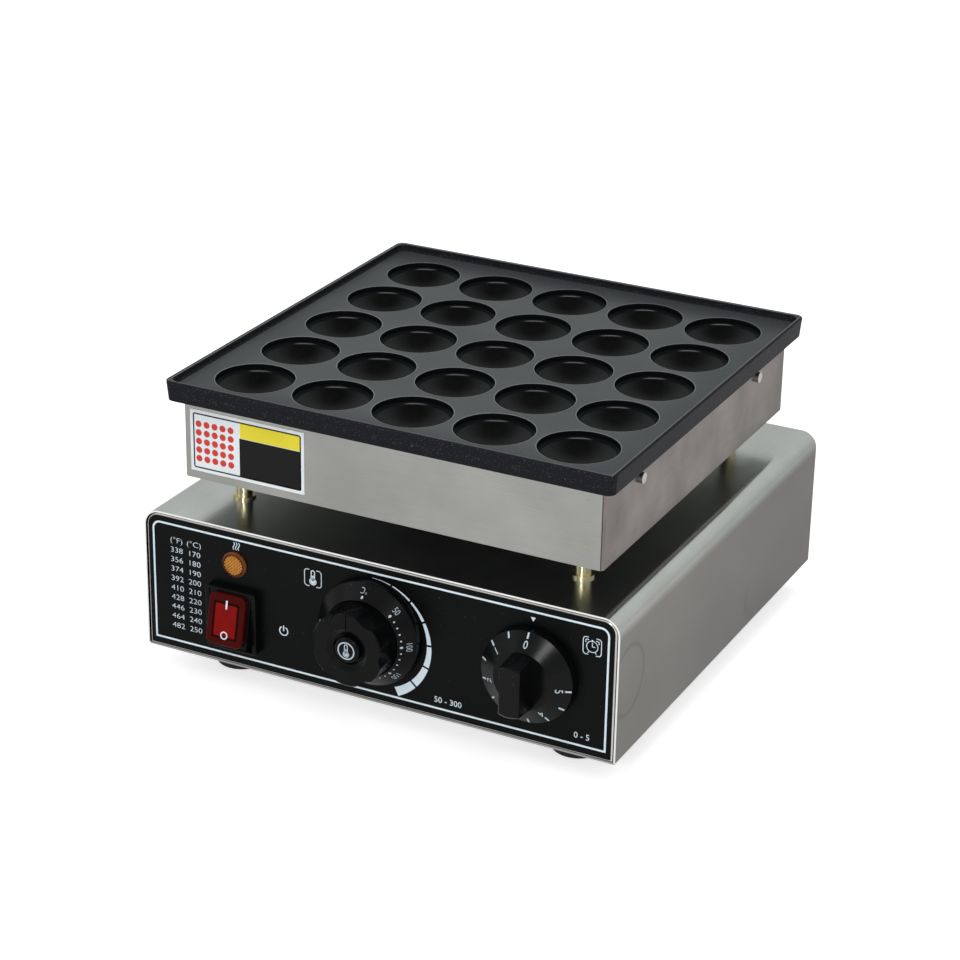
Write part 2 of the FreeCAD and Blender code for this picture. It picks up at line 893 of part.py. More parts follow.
def make_head():
    make_head_panel("head_front_panel", True)
    make_head_panel("head_rear_panel", False)
    make_head_side("head_left_panel", -1)
    make_head_side("head_right_panel", 1)
    floor = new_body("head_bottom_plate")
    side = head_half - head_sheet - size("head_floor_gap")
    end = side - head_sheet
    pad(floor, "Z", head_floor, head_floor_top, rectangle(-side, side, -end, end))
    holes = [circle(sx * post_x, sy * post_y, thread_hole) for _, sx, sy in corners]
    pocket(floor, "Z", head_floor, head_floor_top, *holes)
    clear = size("nut_flats") / 1.7320508 + size("insulation_gap")
    across = post_x - clear
    along = post_y - clear
    top = head_floor_top + size("insulation_height")
    block("head_insulation", (-across, across), (-along, along), (head_floor_top, top))
    left = -head_half + size("label_side_margin")
    low = head_bottom + size("label_bottom_margin")
    block(
        "head_label", (left, left + size("label_width")),
        (-head_half - size("label_film"), -head_half), (low, low + size("label_height")),
    )
    group("plate_screws", [
        small_screw(
            f"plate_screw_{name}", sx * head_half, sy * (size("side_screw_spacing") / 2),
            side_screw_z(), "-X" if sx > 0 else "X",
        )
        for name, sx, sy in corners
    ])


# ---- baking plate -------------------------------------------------------------------------


def dish_outline(drawing):
    """Half of a hollow's section: a straight wall and then an arc to the middle."""
    radius = size("hollow_radius")
    top = surface + 1
    wall_end = surface - size("hollow_wall")
    bottom = surface - size("hollow_depth")
    rise = number(wall_end - bottom)
    reach = number(radius)
    ball = (reach**2 + rise**2) / (2 * rise)
    half_angle_sine = reach / 2 / ball
    mid_drop = ball - (ball**2 - (reach / 2) ** 2) ** 0.5
    middle = Vector(ball * half_angle_sine, number(bottom) + mid_drop, 0)
    spots = [(0, top), (radius, top), (radius, wall_end), (0, bottom)]
    places = [point(across, up, 0) for across, up in spots]
    drawing.addGeometry(Part.LineSegment(places[0], places[1]), False)
    drawing.addGeometry(Part.LineSegment(places[1], places[2]), False)
    drawing.addGeometry(Part.Arc(places[2], middle, places[3]), False)
    drawing.addGeometry(Part.LineSegment(places[3], places[0]), False)
    arc_ends = sorted((1, 2), key=lambda end: -drawing.getPoint(2, end).x)
    for first, first_end, second, second_end in (
        (0, 2, 1, 1), (1, 2, 2, arc_ends[0]), (2, arc_ends[1], 3, 1), (3, 2, 0, 1),
    ):
        joined = Sketcher.Constraint("Coincident", first, first_end, second, second_end)
        drawing.addConstraint(joined)
    for geometry, end, (across, up) in ((0, 1, spots[0]), (1, 1, spots[1]), (3, 1, spots[3])):
        lock(drawing, geometry, end, across, up)
    lock(drawing, 1, 2, *spots[2])
    drawing.addConstraint(Sketcher.Constraint("PointOnObject", 2, 3, -2))


def make_baking_plate():
    """A cast plate: a drafted rim with a raised lip, a grid of hollows, bosses and lugs."""
    body = new_body("baking_plate")
    foot = plate_half - size("plate_draft")
    rim = pad(body, "Z", rim_bottom, lip_top, rectangle(-foot, foot, -foot, foot))
    slope = f"atan({size('plate_draft').text} / {size('plate_rim').text})"
    rim.setExpression("TaperAngle", slope)
    soften(
        body, size("plate_corner"),
        lambda e: limits(e, "Z")[1] - limits(e, "Z")[0] > number(size("plate_rim")) - 0.01,
    )
    pad(body, "Z", plate_bottom, rim_bottom, rectangle(-body_half, body_half, -body_half, body_half))
    pocket(body, "Z", surface, lip_top, rectangle(-well_half, well_half, -well_half, well_half))
    soften(
        body, size("well_corner"),
        lambda e: runs_along(e, "Z") and abs(abs(e.CenterOfMass.x) - number(well_half)) < 0.01
        and limits(e, "Z")[0] > number(surface) - 0.01,
    )
    soften(body, size("lip_root"), lambda e: lies_at(e, "Z", surface))
    soften(body, size("lip_edge"), lambda e: lies_at(e, "Z", lip_top))
    add_plate_bosses(body)
    add_plate_lugs(body)
    cut_hollows(body)


def boss_height():
    """The bosses hold the clamp bars just clear of the elements."""
    return size("element_radius") * 2 + size("seat_gap") * 2


def boss_spots():
    reach = size("element_inner_run") + size("element_pitch") * 1.5
    row = size("boss_spacing_y") / 2
    return [(column * reach, side * row) for column in (-1, 0, 1) for side in (-1, 1)]


def add_plate_bosses(body):
    low = plate_bottom - boss_height()
    pad(body, "Z", low, plate_bottom, *[circle(x, y, size("boss_radius")) for x, y in boss_spots()])
    holes = [circle(x, y, screw_hole) for x, y in boss_spots()]
    pocket(body, "Z", low, low + size("screw_length"), *holes)


def add_plate_lugs(body):
    inner_face = head_inside
    reach = size("side_screw_spacing") / 2
    half = size("lug_width") / 2
    low = plate_bottom - size("lug_drop")
    outlines = []
    for _, sx, sy in corners:
        x_limits = sorted((sx * inner_face, sx * (inner_face - size("lug_length"))), key=number)
        outlines.append(rectangle(*x_limits, sy * reach - half, sy * reach + half))
    pad(body, "Z", low, plate_bottom, *outlines)
    depth = size("screw_length")
    for low_x, high_x in ((inner_face - depth, inner_face), (-inner_face, -inner_face + depth)):
        pocket(body, "X", low_x, high_x, *[circle(sy * reach, side_screw_z(), screw_hole) for sy in (-1, 1)])


def cut_hollows(body):
    first = -grid_half
    doc.recompute()
    before = body.Shape.Volume
    drawing = sketch(body, "Y", first, [dish_outline])
    bind(drawing, "AttachmentOffset.Base.x", first)
    groove = body.newObject("PartDesign::Groove", "hollow")
    groove.Profile = drawing
    groove.ReferenceAxis = (drawing, ["V_Axis"])
    groove.Angle = 360.0
    doc.recompute()
    if body.Shape.Volume > before - 1:
        raise RuntimeError("the first hollow cuts nothing")
    grid = body.newObject("PartDesign::MultiTransform", "hollow_grid")
    steps = []
    for role in ("X_Axis", "Y_Axis"):
        step = body.newObject("PartDesign::LinearPattern", f"hollow_{role}")
        step.Direction = (origin_part(body, role), [""])
        bind(step, "Length", grid_half * 2)
        step.Occurrences = int(number(size("hollow_rows")))
        steps.append(step)
    grid.Originals = [groove]
    grid.Transformations = steps
    body.Tip = grid
    radius = number(size("hollow_radius"))
    soften(
        body, size("hollow_edge"),
        lambda e: lies_at(e, "Z", surface) and e.Closed and abs(e.BoundBox.XLength - 2 * radius) < 0.01,
    )


# ---- heating elements, clamps and sensor --------------------------------------------------


def element_z():
    return plate_bottom - boss_height() / 2


def element_run(index):
    return size("element_inner_run") + index * size("element_pitch")


def element_tail():
    return head_inside - size("element_tail_room")


def make_elements():
    reach = head_inside - size("element_end_room")
    tail = element_tail()
    runs = [element_run(index) for index in range(4)]
    for label, sign in (("heating_element_left", -1), ("heating_element_right", 1)):
        ends = (tail, -reach, reach, -reach, tail)
        spots = []
        for index, run in enumerate(reversed(runs)):
            spots.append((sign * run, ends[index], element_z()))
            spots.append((sign * run, ends[index + 1], element_z()))
        bent_rod(label, size("element_radius"), size("element_pitch") / 2, spots)
    bars = []
    half = element_run(3) + size("element_radius") + size("bar_overhang")
    top = plate_bottom - boss_height()
    low = top - size("bar_thickness")
    for name, side in (("front", -1), ("rear", 1)):
        row = side * (size("boss_spacing_y") / 2)
        y_limits = (row - size("bar_width") / 2, row + size("bar_width") / 2)
        strip = block(f"clamp_strip_{name}", (-half, half), y_limits, (low, top))
        holes = [
            rod(f"clamp_hole_{name}", screw_hole, size("bar_thickness"), x, row, low)
            for x, y in boss_spots() if number(y) * side > 0
        ]
        bars.append(cut(f"clamp_bar_{name}", strip, *holes))
    group("element_clamp_bars", bars)
    group("clamp_screws", [small_screw("clamp_screw", x, y, low, "Z") for x, y in boss_spots()])


def bulb_place():
    x = size("element_inner_run") + size("element_pitch") / 2
    z = plate_bottom - boss_height() + size("bulb_radius") + size("seat_gap")
    return x, z


def make_sensor():
    x, z = bulb_place()
    half = size("bulb_length") / 2
    rod("thermostat_bulb", size("bulb_radius"), size("bulb_length"), x, -half, z, "Y")
    bend = size("capillary_bend")
    run = size("capillary_run")
    over = head_floor_top + size("insulation_height") + bend
    under = cover_underside - size("post_tail") - bend * 1.3
    back = thermostat_back()
    entry = size("capillary_entry")
    bent_rod("thermostat_capillary", size("capillary_radius"), bend, [
        (x, -half, z), (x, -half - run, z), (x + run, -half - run * 1.5, over),
        (post_x - run * 2, -post_y, over), (post_x, -post_y, over), (post_x, -post_y, under),
        (post_x - run * 4, -post_y, under), (entry, back + run * 1.5, dial_z + entry),
        (entry, back, dial_z + entry),
    ])


def thermostat_back():
    return panel_back + size("thermostat_depth")


# ---- dials --------------------------------------------------------------------------------


def on_panel(body, x, z, start):
    """Turns a body so that its Z axis leaves the panel and its Y axis points up."""
    return place(body, x, start, z, "-Y")


def make_driver(label, x, z, side, height, depth, screws_label):
    """The fixed body behind the panel that a shaft turns in, with its two screws."""
    box = block(
        f"{label}_case", (x - side / 2, x + side / 2), (panel_back, panel_back + depth),
        (z - height / 2, z + height / 2),
    )
    bore = size("shaft_radius") + size("running_gap")
    reach = depth / 2
    spot = rod(f"{label}_bore", bore, reach, x, panel_back, z, "Y")
    offset = size("dial_screw_spacing") / 2
    thread = size("screw_length") - base_sheet + size("screw_end_room")
    holes = [
        rod(f"{label}_screw_hole", screw_hole, thread, x + way * offset, panel_back, z, "Y")
        for way in (-1, 1)
    ]
    cut(label, box, spot, *holes)
    group(screws_label, [
        small_screw(f"{label}_screw", x + way * offset, panel_face, z, "Y") for way in (-1, 1)
    ])


def make_shaft(label, x, z, depth, end):
    """From half way into its driver to its seat in the knob."""
    inner = panel_back + depth / 2 - size("seat_gap")
    outer = panel_face - end
    rod(label, size("shaft_radius"), inner - outer, x, outer, z, "Y")


def make_temperature_dial():
    depth = size("thermostat_depth")
    make_driver(
        "thermostat_body", as_size(0), dial_z, size("thermostat_width"), size("thermostat_height"),
        depth, "thermostat_screws",
    )
    film = size("overlay_film")
    bezel = new_body("temperature_bezel")
    floor = size("bezel_floor")
    face = size("bezel_face_radius")
    turned(
        bezel, (shaft_hole, 0), (face + size("dial_draft"), 0), (face, size("bezel_rim")),
        (size("bezel_bore"), size("bezel_height")), (size("bezel_bore"), floor), (shaft_hole, floor),
    )
    reach = size("dial_screw_spacing") / 2
    room = size("screw_head_radius") + size("screw_gap")
    pocket(bezel, "Z", as_size(0), floor, circle(-reach, 0, room), circle(reach, 0, room))
    on_panel(bezel, as_size(0), dial_z, panel_face - film)
    make_temperature_knob(film)
    end = film + size("knob_height") - size("dish_depth") - size("shaft_cover")
    make_shaft("thermostat_shaft", as_size(0), dial_z, depth, end)


def make_temperature_knob(film):
    knob = new_body("temperature_knob")
    start = size("knob_start")
    waist = size("knob_waist")
    height = size("knob_height")
    face = height - size("dish_depth")
    bore = size("shaft_radius") + size("thread_gap")
    seat = face - size("shaft_cover")
    disc = size("bezel_bore") - size("knob_gap")
    pad(knob, "Z", waist, height, circle(0, 0, size("knob_radius")))
    half_pitch = 180 / size("knob_lobes")
    flute_centre = size("knob_radius") - size("flute_depth") + size("flute_radius")
    flute = pocket(knob, "Z", waist, height, circle(
        flute_centre * sine(half_pitch), flute_centre * cosine(half_pitch), size("flute_radius"),
    ))
    lobes = int(number(size("knob_lobes")))
    ring = knob.newObject("PartDesign::PolarPattern", "knob_flutes")
    ring.Originals = [flute]
    ring.Axis = (origin_part(knob, "Z_Axis"), [""])
    ring.Angle = 360.0
    ring.Occurrences = lobes
    knob.Tip = ring
    soften(knob, size("lobe_round"), lambda e: runs_along(e, "Z") and e.Length > 1)
    rim = size("knob_radius")
    turned_cut(knob, (rim, height - size("knob_edge")), (rim + 1, height - size("knob_edge") - 1),
               (rim + 1, height + 1), (rim - size("knob_edge") - 1, height + 1))
    pad(knob, "Z", start, waist, circle(0, 0, disc))
    seat_low = face - size("cap_thickness")
    dish_flat = size("cap_radius") + size("cap_gap")
    turned_cut(knob, (0, seat_low), (dish_flat, seat_low), (dish_flat, face),
               (size("dish_radius"), height), (0, height))
    half = size("pointer_width") / 2
    pointer = rectangle(-half, half, (size("dish_radius") + dish_flat) / 2, rim + 1)
    pocket(knob, "Z", height - size("pointer_depth"), height, pointer)
    pocket(knob, "Z", start, seat, circle(0, 0, bore))
    on_panel(knob, as_size(0), dial_z, panel_face - film)
    cap = new_body("temperature_knob_cap")
    top = face + size("cap_proud")
    pad(cap, "Z", seat_low, top, circle(0, 0, size("cap_radius")))
    soften(cap, size("cap_round"), lambda e: lies_at(e, "Z", top))
    on_panel(cap, as_size(0), dial_z, panel_face - film)


def make_timer_dial():
    depth = size("timer_depth")
    side = size("timer_side")
    make_driver("timer_body", timer_x, timer_z, side, side, depth, "timer_screws")
    film = size("overlay_film")
    knob = new_body("timer_knob")
    gap = size("skirt_gap")
    roof = size("screw_head_height") + gap + size("screw_end_room")
    rim = size("skirt_face_radius") + size("dial_draft")
    inside = rim - size("skirt_wall")
    top = size("skirt_top")
    grip = size("grip_height")
    root = size("skirt_top_radius") - size("grip_step")
    turned(
        knob, (0, roof), (inside, roof), (inside, gap), (rim, gap),
        (size("skirt_face_radius"), size("skirt_rim")), (size("skirt_top_radius"), top),
        (root, top), (root - size("grip_taper"), grip), (0, grip),
    )
    half = size("grip_width") / 2
    for low, high in ((-root, -half), (half, root)):
        pocket(knob, "Z", top, grip, rectangle(low, high, -root, root))
    soften(knob, size("grip_edge"), lambda e: lies_at(e, "Z", grip), "Chamfer")
    bore = size("shaft_radius") + size("thread_gap")
    seat = grip - size("shaft_cover")
    pocket(knob, "Z", roof, seat, circle(0, 0, bore))
    on_panel(knob, timer_x, timer_z, panel_face - film)
    make_shaft("timer_shaft", timer_x, timer_z, depth, film + seat)


# ---- rocker switch and lamp ---------------------------------------------------------------


def tilted(body):
    """Sets a rocker piece on its pivot with the upper end pressed in."""
    place(body, switch_x, panel_face, switch_z, "-Y")
    lean = 90 - size("rocker_tilt")
    body.Placement = Placement(body.Placement.Base, Rotation(Vector(1, 0, 0), number(lean)))
    bind(body, "Placement.Rotation.Angle", lean)


def make_switch():
    housing = new_body("switch_housing")
    across = mouth_half_width
    up = mouth_half_height
    wall = size("switch_wall")
    frame_x = size("switch_frame_width") / 2
    frame_y = size("switch_frame_height") / 2
    front = size("switch_frame_depth")
    film = size("overlay_film")
    pad(housing, "Z", film, front, rectangle(-frame_x, frame_x, -frame_y, frame_y))
    soften(housing, size("switch_frame_corner"), lambda e: runs_along(e, "Z"))
    soften(housing, size("lens_edge"), lambda e: lies_at(e, "Z", front))
    back = -size("switch_depth")
    outer = rectangle(-across - wall, across + wall, -up - wall, up + wall)
    pad(housing, "Z", back, film, outer)
    pocket(housing, "Z", -size("switch_well"), front, rectangle(-across, across, -up, up))
    reach = size("pivot_reach")
    pad(housing, "X", -across, -across + reach, circle(0, 0, size("pivot_radius")))
    pad(housing, "X", across - reach, across, circle(0, 0, size("pivot_radius")))
    on_panel(housing, switch_x, switch_z, panel_face)
    make_rocker()


def make_rocker():
    rocker = new_body("rocker")
    width = mouth_half_width - size("rocker_side_gap")
    half = mouth_half_height - size("rocker_end_gap")
    step = size("rocker_step")
    keel = size("rocker_keel")
    foot = size("rocker_foot")
    taper = size("rocker_taper")
    pad(rocker, "X", -width, width, polygon(
        (-half, step), (-half + taper, 1), (-foot, -keel), (foot, -keel), (half - taper, 1), (half, step),
    ))
    hole = size("pivot_radius") + size("running_gap")
    reach = size("pivot_reach") - size("rocker_side_gap") + size("seat_gap")
    pocket(rocker, "X", -width, -width + reach, circle(0, 0, hole))
    pocket(rocker, "X", width - reach, width, circle(0, 0, hole))
    tilted(rocker)
    lens = new_body("rocker_lens")
    lens_x = width - size("lens_side_inset")
    lens_y = half - size("lens_end_inset")
    top = size("rocker_face")
    pad(lens, "Z", step, top, rectangle(-lens_x, lens_x, -lens_y, lens_y))
    soften(lens, size("lens_corner"), lambda e: runs_along(e, "Z"))
    soften(lens, size("lens_edge"), lambda e: lies_at(e, "Z", top))
    tilted(lens)


def make_lamp():
    lens = new_body("lamp_lens")
    film = size("overlay_film")
    flange = size("lamp_flange")
    neck = size("lamp_neck")
    face = size("lamp_face_radius")
    back = base_sheet + size("seat_gap")
    turned(
        lens, (0, -back), (neck, -back), (neck, film), (size("lamp_flange_radius"), film),
        (size("lamp_flange_radius"), film + flange / 2), (face + size("lens_edge"), film + flange),
        (face, film + flange), (face, film + flange - size("lamp_recess")),
        (0, film + flange - size("lamp_recess") / 2),
    )
    on_panel(lens, lamp_x, lamp_z, panel_face)
    start = panel_face + back
    rod("lamp_body", size("lamp_body_radius"), size("lamp_body_length"), lamp_x, start, lamp_z, "Y")


# ---- cord gland, terminal block and wires -------------------------------------------------


def make_gland():
    flats = size("gland_flats")
    thread = size("gland_thread")
    bore = size("gland_bore")
    flange = size("gland_flange")
    tail = size("gland_tail")
    seal = size("gland_seal_length")
    mouth_start = rear_face + flange
    outside = fused(
        "gland_outside",
        hexagon("gland_hex", flats, flange, gland_x, rear_face, gland_z, "Y"),
        rod("gland_inner_thread", thread, tail, gland_x, rear_face, gland_z, "-Y"),
        rod("gland_outer_thread", thread, seal, gland_x, mouth_start, gland_z, "Y"),
    )
    through = rod(
        "gland_through", bore, tail + flange + seal, gland_x, rear_face - tail, gland_z, "Y",
    )
    cut("cable_gland_body", outside, through)
    cap = new_body("cable_gland_cap")
    outer = size("gland_cap_radius")
    length = size("gland_cap_length")
    mouth = size("gland_cap_mouth")
    inner = thread + size("thread_gap")
    step = seal + size("seat_gap")
    grip = size("gland_cap_grip")
    collar = size("gland_cap_collar")
    start = size("seat_gap")
    turned(
        cap, (inner, start), (outer + grip, start), (outer + grip, collar), (outer, collar + grip),
        (outer, length - size("gland_cap_crown")), (mouth + size("gland_cap_wall"), length),
        (mouth, length), (mouth, step), (inner, step),
    )
    place(cap, gland_x, mouth_start, gland_z, "Y")
    ring = rod(
        "gland_seal_ring", bore - size("thread_gap"), seal, gland_x, mouth_start, gland_z, "Y",
    )
    hole = rod("gland_seal_hole", size("gland_seal_bore"), seal, gland_x, mouth_start, gland_z, "Y")
    cut("cable_gland_seal", ring, hole)
    nut(
        "cable_gland_nut", flats, size("gland_nut_height"), thread + size("thread_gap"),
        gland_x, rear_back, gland_z, "-Y",
    )


def terminal_place():
    return gland_x + size("terminal_offset"), rear_face - size("terminal_setback")


def make_terminal_block():
    x, y = terminal_place()
    half = size("terminal_length") / 2
    depth = size("terminal_width") / 2
    top = floor_top + size("terminal_height")
    case = block("terminal_case", (x - half, x + half), (y - depth, y + depth), (floor_top, top))
    pitch = size("terminal_pitch")
    wells = []
    screws = []
    for index in (-1, 0, 1):
        spot = x + index * pitch
        well = size("screw_head_radius")
        wells.append(rod("terminal_well", well, size("terminal_height") / 2, spot, y, top, "-Z"))
        screws.append(rod(
            "terminal_screw", well - size("screw_gap"), size("screw_head_height"), spot, y,
            top - size("terminal_height") / 2,
        ))
    cut("terminal_block", case, *wells)
    group("terminal_screws", screws)


def lead_route(side):
    """From an element's outer end over the insulation and down through a rear post."""
    outer_run = element_run(3)
    step = size("wire_step")
    back = element_tail() + step
    over = head_floor_top + size("insulation_height")
    down = cover_underside - step * 2.2
    return [
        (side * outer_run, element_tail(), element_z()), (side * outer_run, back, element_z()),
        (side * outer_run, back, over), (side * post_x, post_y, over - step / 2),
        (side * post_x, post_y, down),
    ]


def make_element_leads():
    step = size("wire_step")
    block_x, block_y = terminal_place()
    block_top = floor_top + size("terminal_height")
    block_end = block_x - size("terminal_pitch")
    back = thermostat_back()
    low = floor_top + step * 2.4
    entry = size("capillary_entry")
    left = lead_route(-1) + [
        (step - post_x, post_y, low + step * 3), (block_end, block_y, block_top + step),
        (block_end, block_y, block_top),
    ]
    right = lead_route(1) + [
        (post_x - step * 4, post_y - step * 4, low), (-step, back + step * 6, low),
        (-entry, back + step, dial_z - entry), (-entry, back, dial_z - entry),
    ]
    inner_run = element_run(0)
    tail = element_tail()
    link = [
        (-inner_run, tail, element_z()), (-inner_run, tail + step, element_z()),
        (inner_run, tail + step, element_z()), (inner_run, tail, element_z()),
    ]
    radius = size("lead_radius")
    bend = size("wire_bend")
    routes = (("lead_left", left), ("lead_right", right), ("lead_link", link))
    group("element_leads", [bent_rod(label, radius, bend, spots) for label, spots in routes])


def make_control_wires():
    step = size("wire_step")
    entry = size("capillary_entry")
    back = thermostat_back()
    block_x, block_y = terminal_place()
    front = block_y - size("terminal_width") / 2
    low = floor_top + step
    switch_back = panel_face + size("switch_depth")
    timer_back = panel_back + size("timer_depth")
    lamp_back = panel_face + base_sheet + size("seat_gap") + size("lamp_body_length")
    half = size("thermostat_width") / 2 - size("capillary_entry") / 2
    routes = {
        "supply_wire": [
            (block_x, front, low), (block_x, front - step * 2, low),
            (switch_x, switch_back + step * 4, low), (switch_x, switch_back + step, switch_z - entry),
            (switch_x, switch_back, switch_z - entry),
        ],
        "thermostat_wire": [
            (switch_x + entry, switch_back, switch_z), (switch_x + entry, switch_back + step, switch_z),
            (-half, back + step, dial_z), (-half, back, dial_z),
        ],
        "timer_wire": [
            (half, back, dial_z - entry), (half, back + step, dial_z - entry),
            (timer_x, timer_back + step, timer_z - entry), (timer_x, timer_back, timer_z - entry),
        ],
        "lamp_wire": [
            (lamp_x, lamp_back, lamp_z), (lamp_x, lamp_back + step, lamp_z),
            (-entry, back + step, dial_z + entry), (-entry, back, dial_z + entry),
        ],
    }
    radius = size("wire_radius")
    bend = size("wire_bend")
    group("control_wires", [bent_rod(label, radius, bend, spots) for label, spots in routes.items()])


node_names = [
    "base_cover", "control_panel", "panel_overlay", "rear_panel", "bottom_plate", "cover_screws",
    "foot_front_left", "foot_front_right", "foot_rear_left", "foot_rear_right",
    "foot_screws", "foot_nuts",
    "support_post_front_left", "support_post_front_right",
    "support_post_rear_left", "support_post_rear_right",
    "post_washers", "post_nuts_base", "post_nuts_head",
    "head_front_panel", "head_rear_panel", "head_left_panel", "head_right_panel",
    "head_bottom_plate", "head_insulation", "head_label", "plate_screws", "baking_plate",
    "heating_element_left", "heating_element_right", "element_clamp_bars", "clamp_screws",
    "thermostat_bulb", "thermostat_capillary",
    "thermostat_body", "thermostat_screws", "thermostat_shaft",
    "temperature_bezel", "temperature_knob", "temperature_knob_cap",
    "timer_body", "timer_screws", "timer_shaft", "timer_knob",
    "switch_housing", "rocker", "rocker_lens", "lamp_lens", "lamp_body",
    "cable_gland_body", "cable_gland_cap", "cable_gland_seal", "cable_gland_nut",
    "terminal_block", "terminal_screws", "element_leads", "control_wires",
]

make_base_cover()
make_control_panel()
make_rear_panel()
make_bottom_plate()
make_feet()
make_posts()
make_head()
make_baking_plate()
make_elements()
make_sensor()
make_temperature_dial()
make_timer_dial()
make_switch()
make_lamp()
make_gland()
make_terminal_block()
make_element_leads()
make_control_wires()
doc.recompute()

for thing in doc.Objects:
    if "Invalid" in thing.State or "Error" in thing.State:
        raise RuntimeError(f"{thing.Label} is in state {thing.State}")

os.makedirs("parts", exist_ok=True)
for name in node_names:
    shape = doc.getObjectsByLabel(name)[0].Shape
    if shape.isNull() or not shape.isValid():
        raise RuntimeError(f"{name} has no valid shape")
    shape.exportStep(f"parts/{name}.step")
    print(f"{name}: {len(shape.Solids)} solid, {shape.Volume:.1f} mm3")
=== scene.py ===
import math

import bpy
from mathutils import Matrix, Vector


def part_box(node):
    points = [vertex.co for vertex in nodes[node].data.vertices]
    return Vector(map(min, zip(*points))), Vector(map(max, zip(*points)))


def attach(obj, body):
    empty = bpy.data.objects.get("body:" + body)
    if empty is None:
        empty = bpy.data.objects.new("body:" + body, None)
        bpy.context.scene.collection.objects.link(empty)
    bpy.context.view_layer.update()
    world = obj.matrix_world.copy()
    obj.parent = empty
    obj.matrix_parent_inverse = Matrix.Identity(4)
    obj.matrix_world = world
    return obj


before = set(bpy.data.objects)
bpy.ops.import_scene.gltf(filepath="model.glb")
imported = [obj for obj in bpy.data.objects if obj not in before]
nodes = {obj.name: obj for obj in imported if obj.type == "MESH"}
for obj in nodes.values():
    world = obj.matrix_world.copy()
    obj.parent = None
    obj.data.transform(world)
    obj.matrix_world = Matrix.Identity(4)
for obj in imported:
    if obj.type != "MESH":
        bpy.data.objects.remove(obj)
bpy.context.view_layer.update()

mm = 0.001
print("loaded", len(nodes), "nodes")

# the axes of the controls and the level of the printed film, in millimetres
layout = {
    "filmY": -147.25,
    "panelY": -146.85,
    "headFrontY": -131.3,
    "dialZ": 63.9,
    "timerX": 98.7,
    "timerZ": 62.3,
    "switchX": -89.6,
    "switchZ": 50.0,
    "lampX": -89.1,
    "lampZ": 83.4,
    "surfaceZ": 178.6,
    "lipTopZ": 183.1,
    "printLift": 0.03,
}

cameraView = {
    "centre": (653.39, -1321.67, 747.98),
    "azimuth": 26.598,
    "elevation": 23.791,
    "roll": 1.051,
    "lens": 101.34,
    "sensor": 36.0,
}


def makeCamera(view):
    azimuth, elevation, roll = (math.radians(view[name]) for name in ("azimuth", "elevation", "roll"))
    back = Vector((
        math.sin(azimuth) * math.cos(elevation),
        -math.cos(azimuth) * math.cos(elevation),
        math.sin(elevation),
    ))
    right = Vector((math.cos(azimuth), math.sin(azimuth), 0))
    up = back.cross(right)
    localX = right * math.cos(roll) + up * math.sin(roll)
    localY = up * math.cos(roll) - right * math.sin(roll)
    data = bpy.data.cameras.new("frontCamera")
    data.lens = view["lens"]
    data.sensor_width = view["sensor"]
    camera = bpy.data.objects.new("frontCamera", data)
    bpy.context.scene.collection.objects.link(camera)
    turn = Matrix((localX, localY, back)).transposed().to_4x4()
    camera.matrix_world = Matrix.Translation(Vector(view["centre"]) * mm) @ turn
    bpy.context.scene.camera = camera


makeCamera(cameraView)
bpy.context.scene.view_settings.view_transform = "Standard"
print("camera set")


def newMaterial(name):
    material = bpy.data.materials.new(name)
    material.use_nodes = True
    tree = material.node_tree
    shader = tree.nodes["Principled BSDF"]
    return material, tree, shader


def addNode(tree, kind, **values):
    node = tree.nodes.new(kind)
    for name, value in values.items():
        setattr(node, name, value)
    return node


def objectPoint(tree, scale=(1, 1, 1)):
    coordinates = addNode(tree, "ShaderNodeTexCoord")
    mapping = addNode(tree, "ShaderNodeMapping")
    mapping.inputs["Scale"].default_value = scale
    tree.links.new(coordinates.outputs["Object"], mapping.inputs["Vector"])
    return mapping.outputs["Vector"]


def placeAlong(tree, axis):
    # how far a point lies along X, Y or Z, in metres
    split = addNode(tree, "ShaderNodeSeparateXYZ")
    tree.links.new(objectPoint(tree), split.inputs["Vector"])
    return split.outputs[axis]


def noiseAt(tree, vector, scale, detail=2.0, roughness=0.5):
    noise = addNode(tree, "ShaderNodeTexNoise")
    noise.inputs["Scale"].default_value = scale
    noise.inputs["Detail"].default_value = detail
    noise.inputs["Roughness"].default_value = roughness
    tree.links.new(vector, noise.inputs["Vector"])
    return noise.outputs["Fac"]


def ramp(tree, value, low, high, lowColor, highColor):
    node = addNode(tree, "ShaderNodeValToRGB")
    node.color_ramp.elements[0].position = low
    node.color_ramp.elements[1].position = high
    node.color_ramp.elements[0].color = (*lowColor, 1)
    node.color_ramp.elements[1].color = (*highColor, 1)
    tree.links.new(value, node.inputs["Fac"])
    return node.outputs["Color"]


def spread(tree, value, low, high, toLow, toHigh, curve="LINEAR"):
    node = addNode(tree, "ShaderNodeMapRange", interpolation_type=curve)
    node.inputs["From Min"].default_value = low
    node.inputs["From Max"].default_value = high
    node.inputs["To Min"].default_value = toLow
    node.inputs["To Max"].default_value = toHigh
    tree.links.new(value, node.inputs["Value"])
    return node.outputs["Result"]


def blended(tree, share, first, second):
    # a colour that goes from the first to the second with the share; either may be a plain colour
    node = addNode(tree, "ShaderNodeMix", data_type="RGBA")
    tree.links.new(share, node.inputs["Factor"])
    for name, color in (("A", first), ("B", second)):
        socket = next(item for item in node.inputs if item.name == name and item.type == "RGBA")
        if isinstance(color, tuple):
            socket.default_value = (*color, 1)
        else:
            tree.links.new(color, socket)
    return next(item for item in node.outputs if item.type == "RGBA")


def combined(tree, operation, first, second):
    # a maths node; either value may be a plain number
    node = addNode(tree, "ShaderNodeMath", operation=operation)
    for socket, value in zip(node.inputs, (first, second)):
        if isinstance(value, (int, float)):
            socket.default_value = value
        else:
            tree.links.new(value, socket)
    return node.outputs[0]


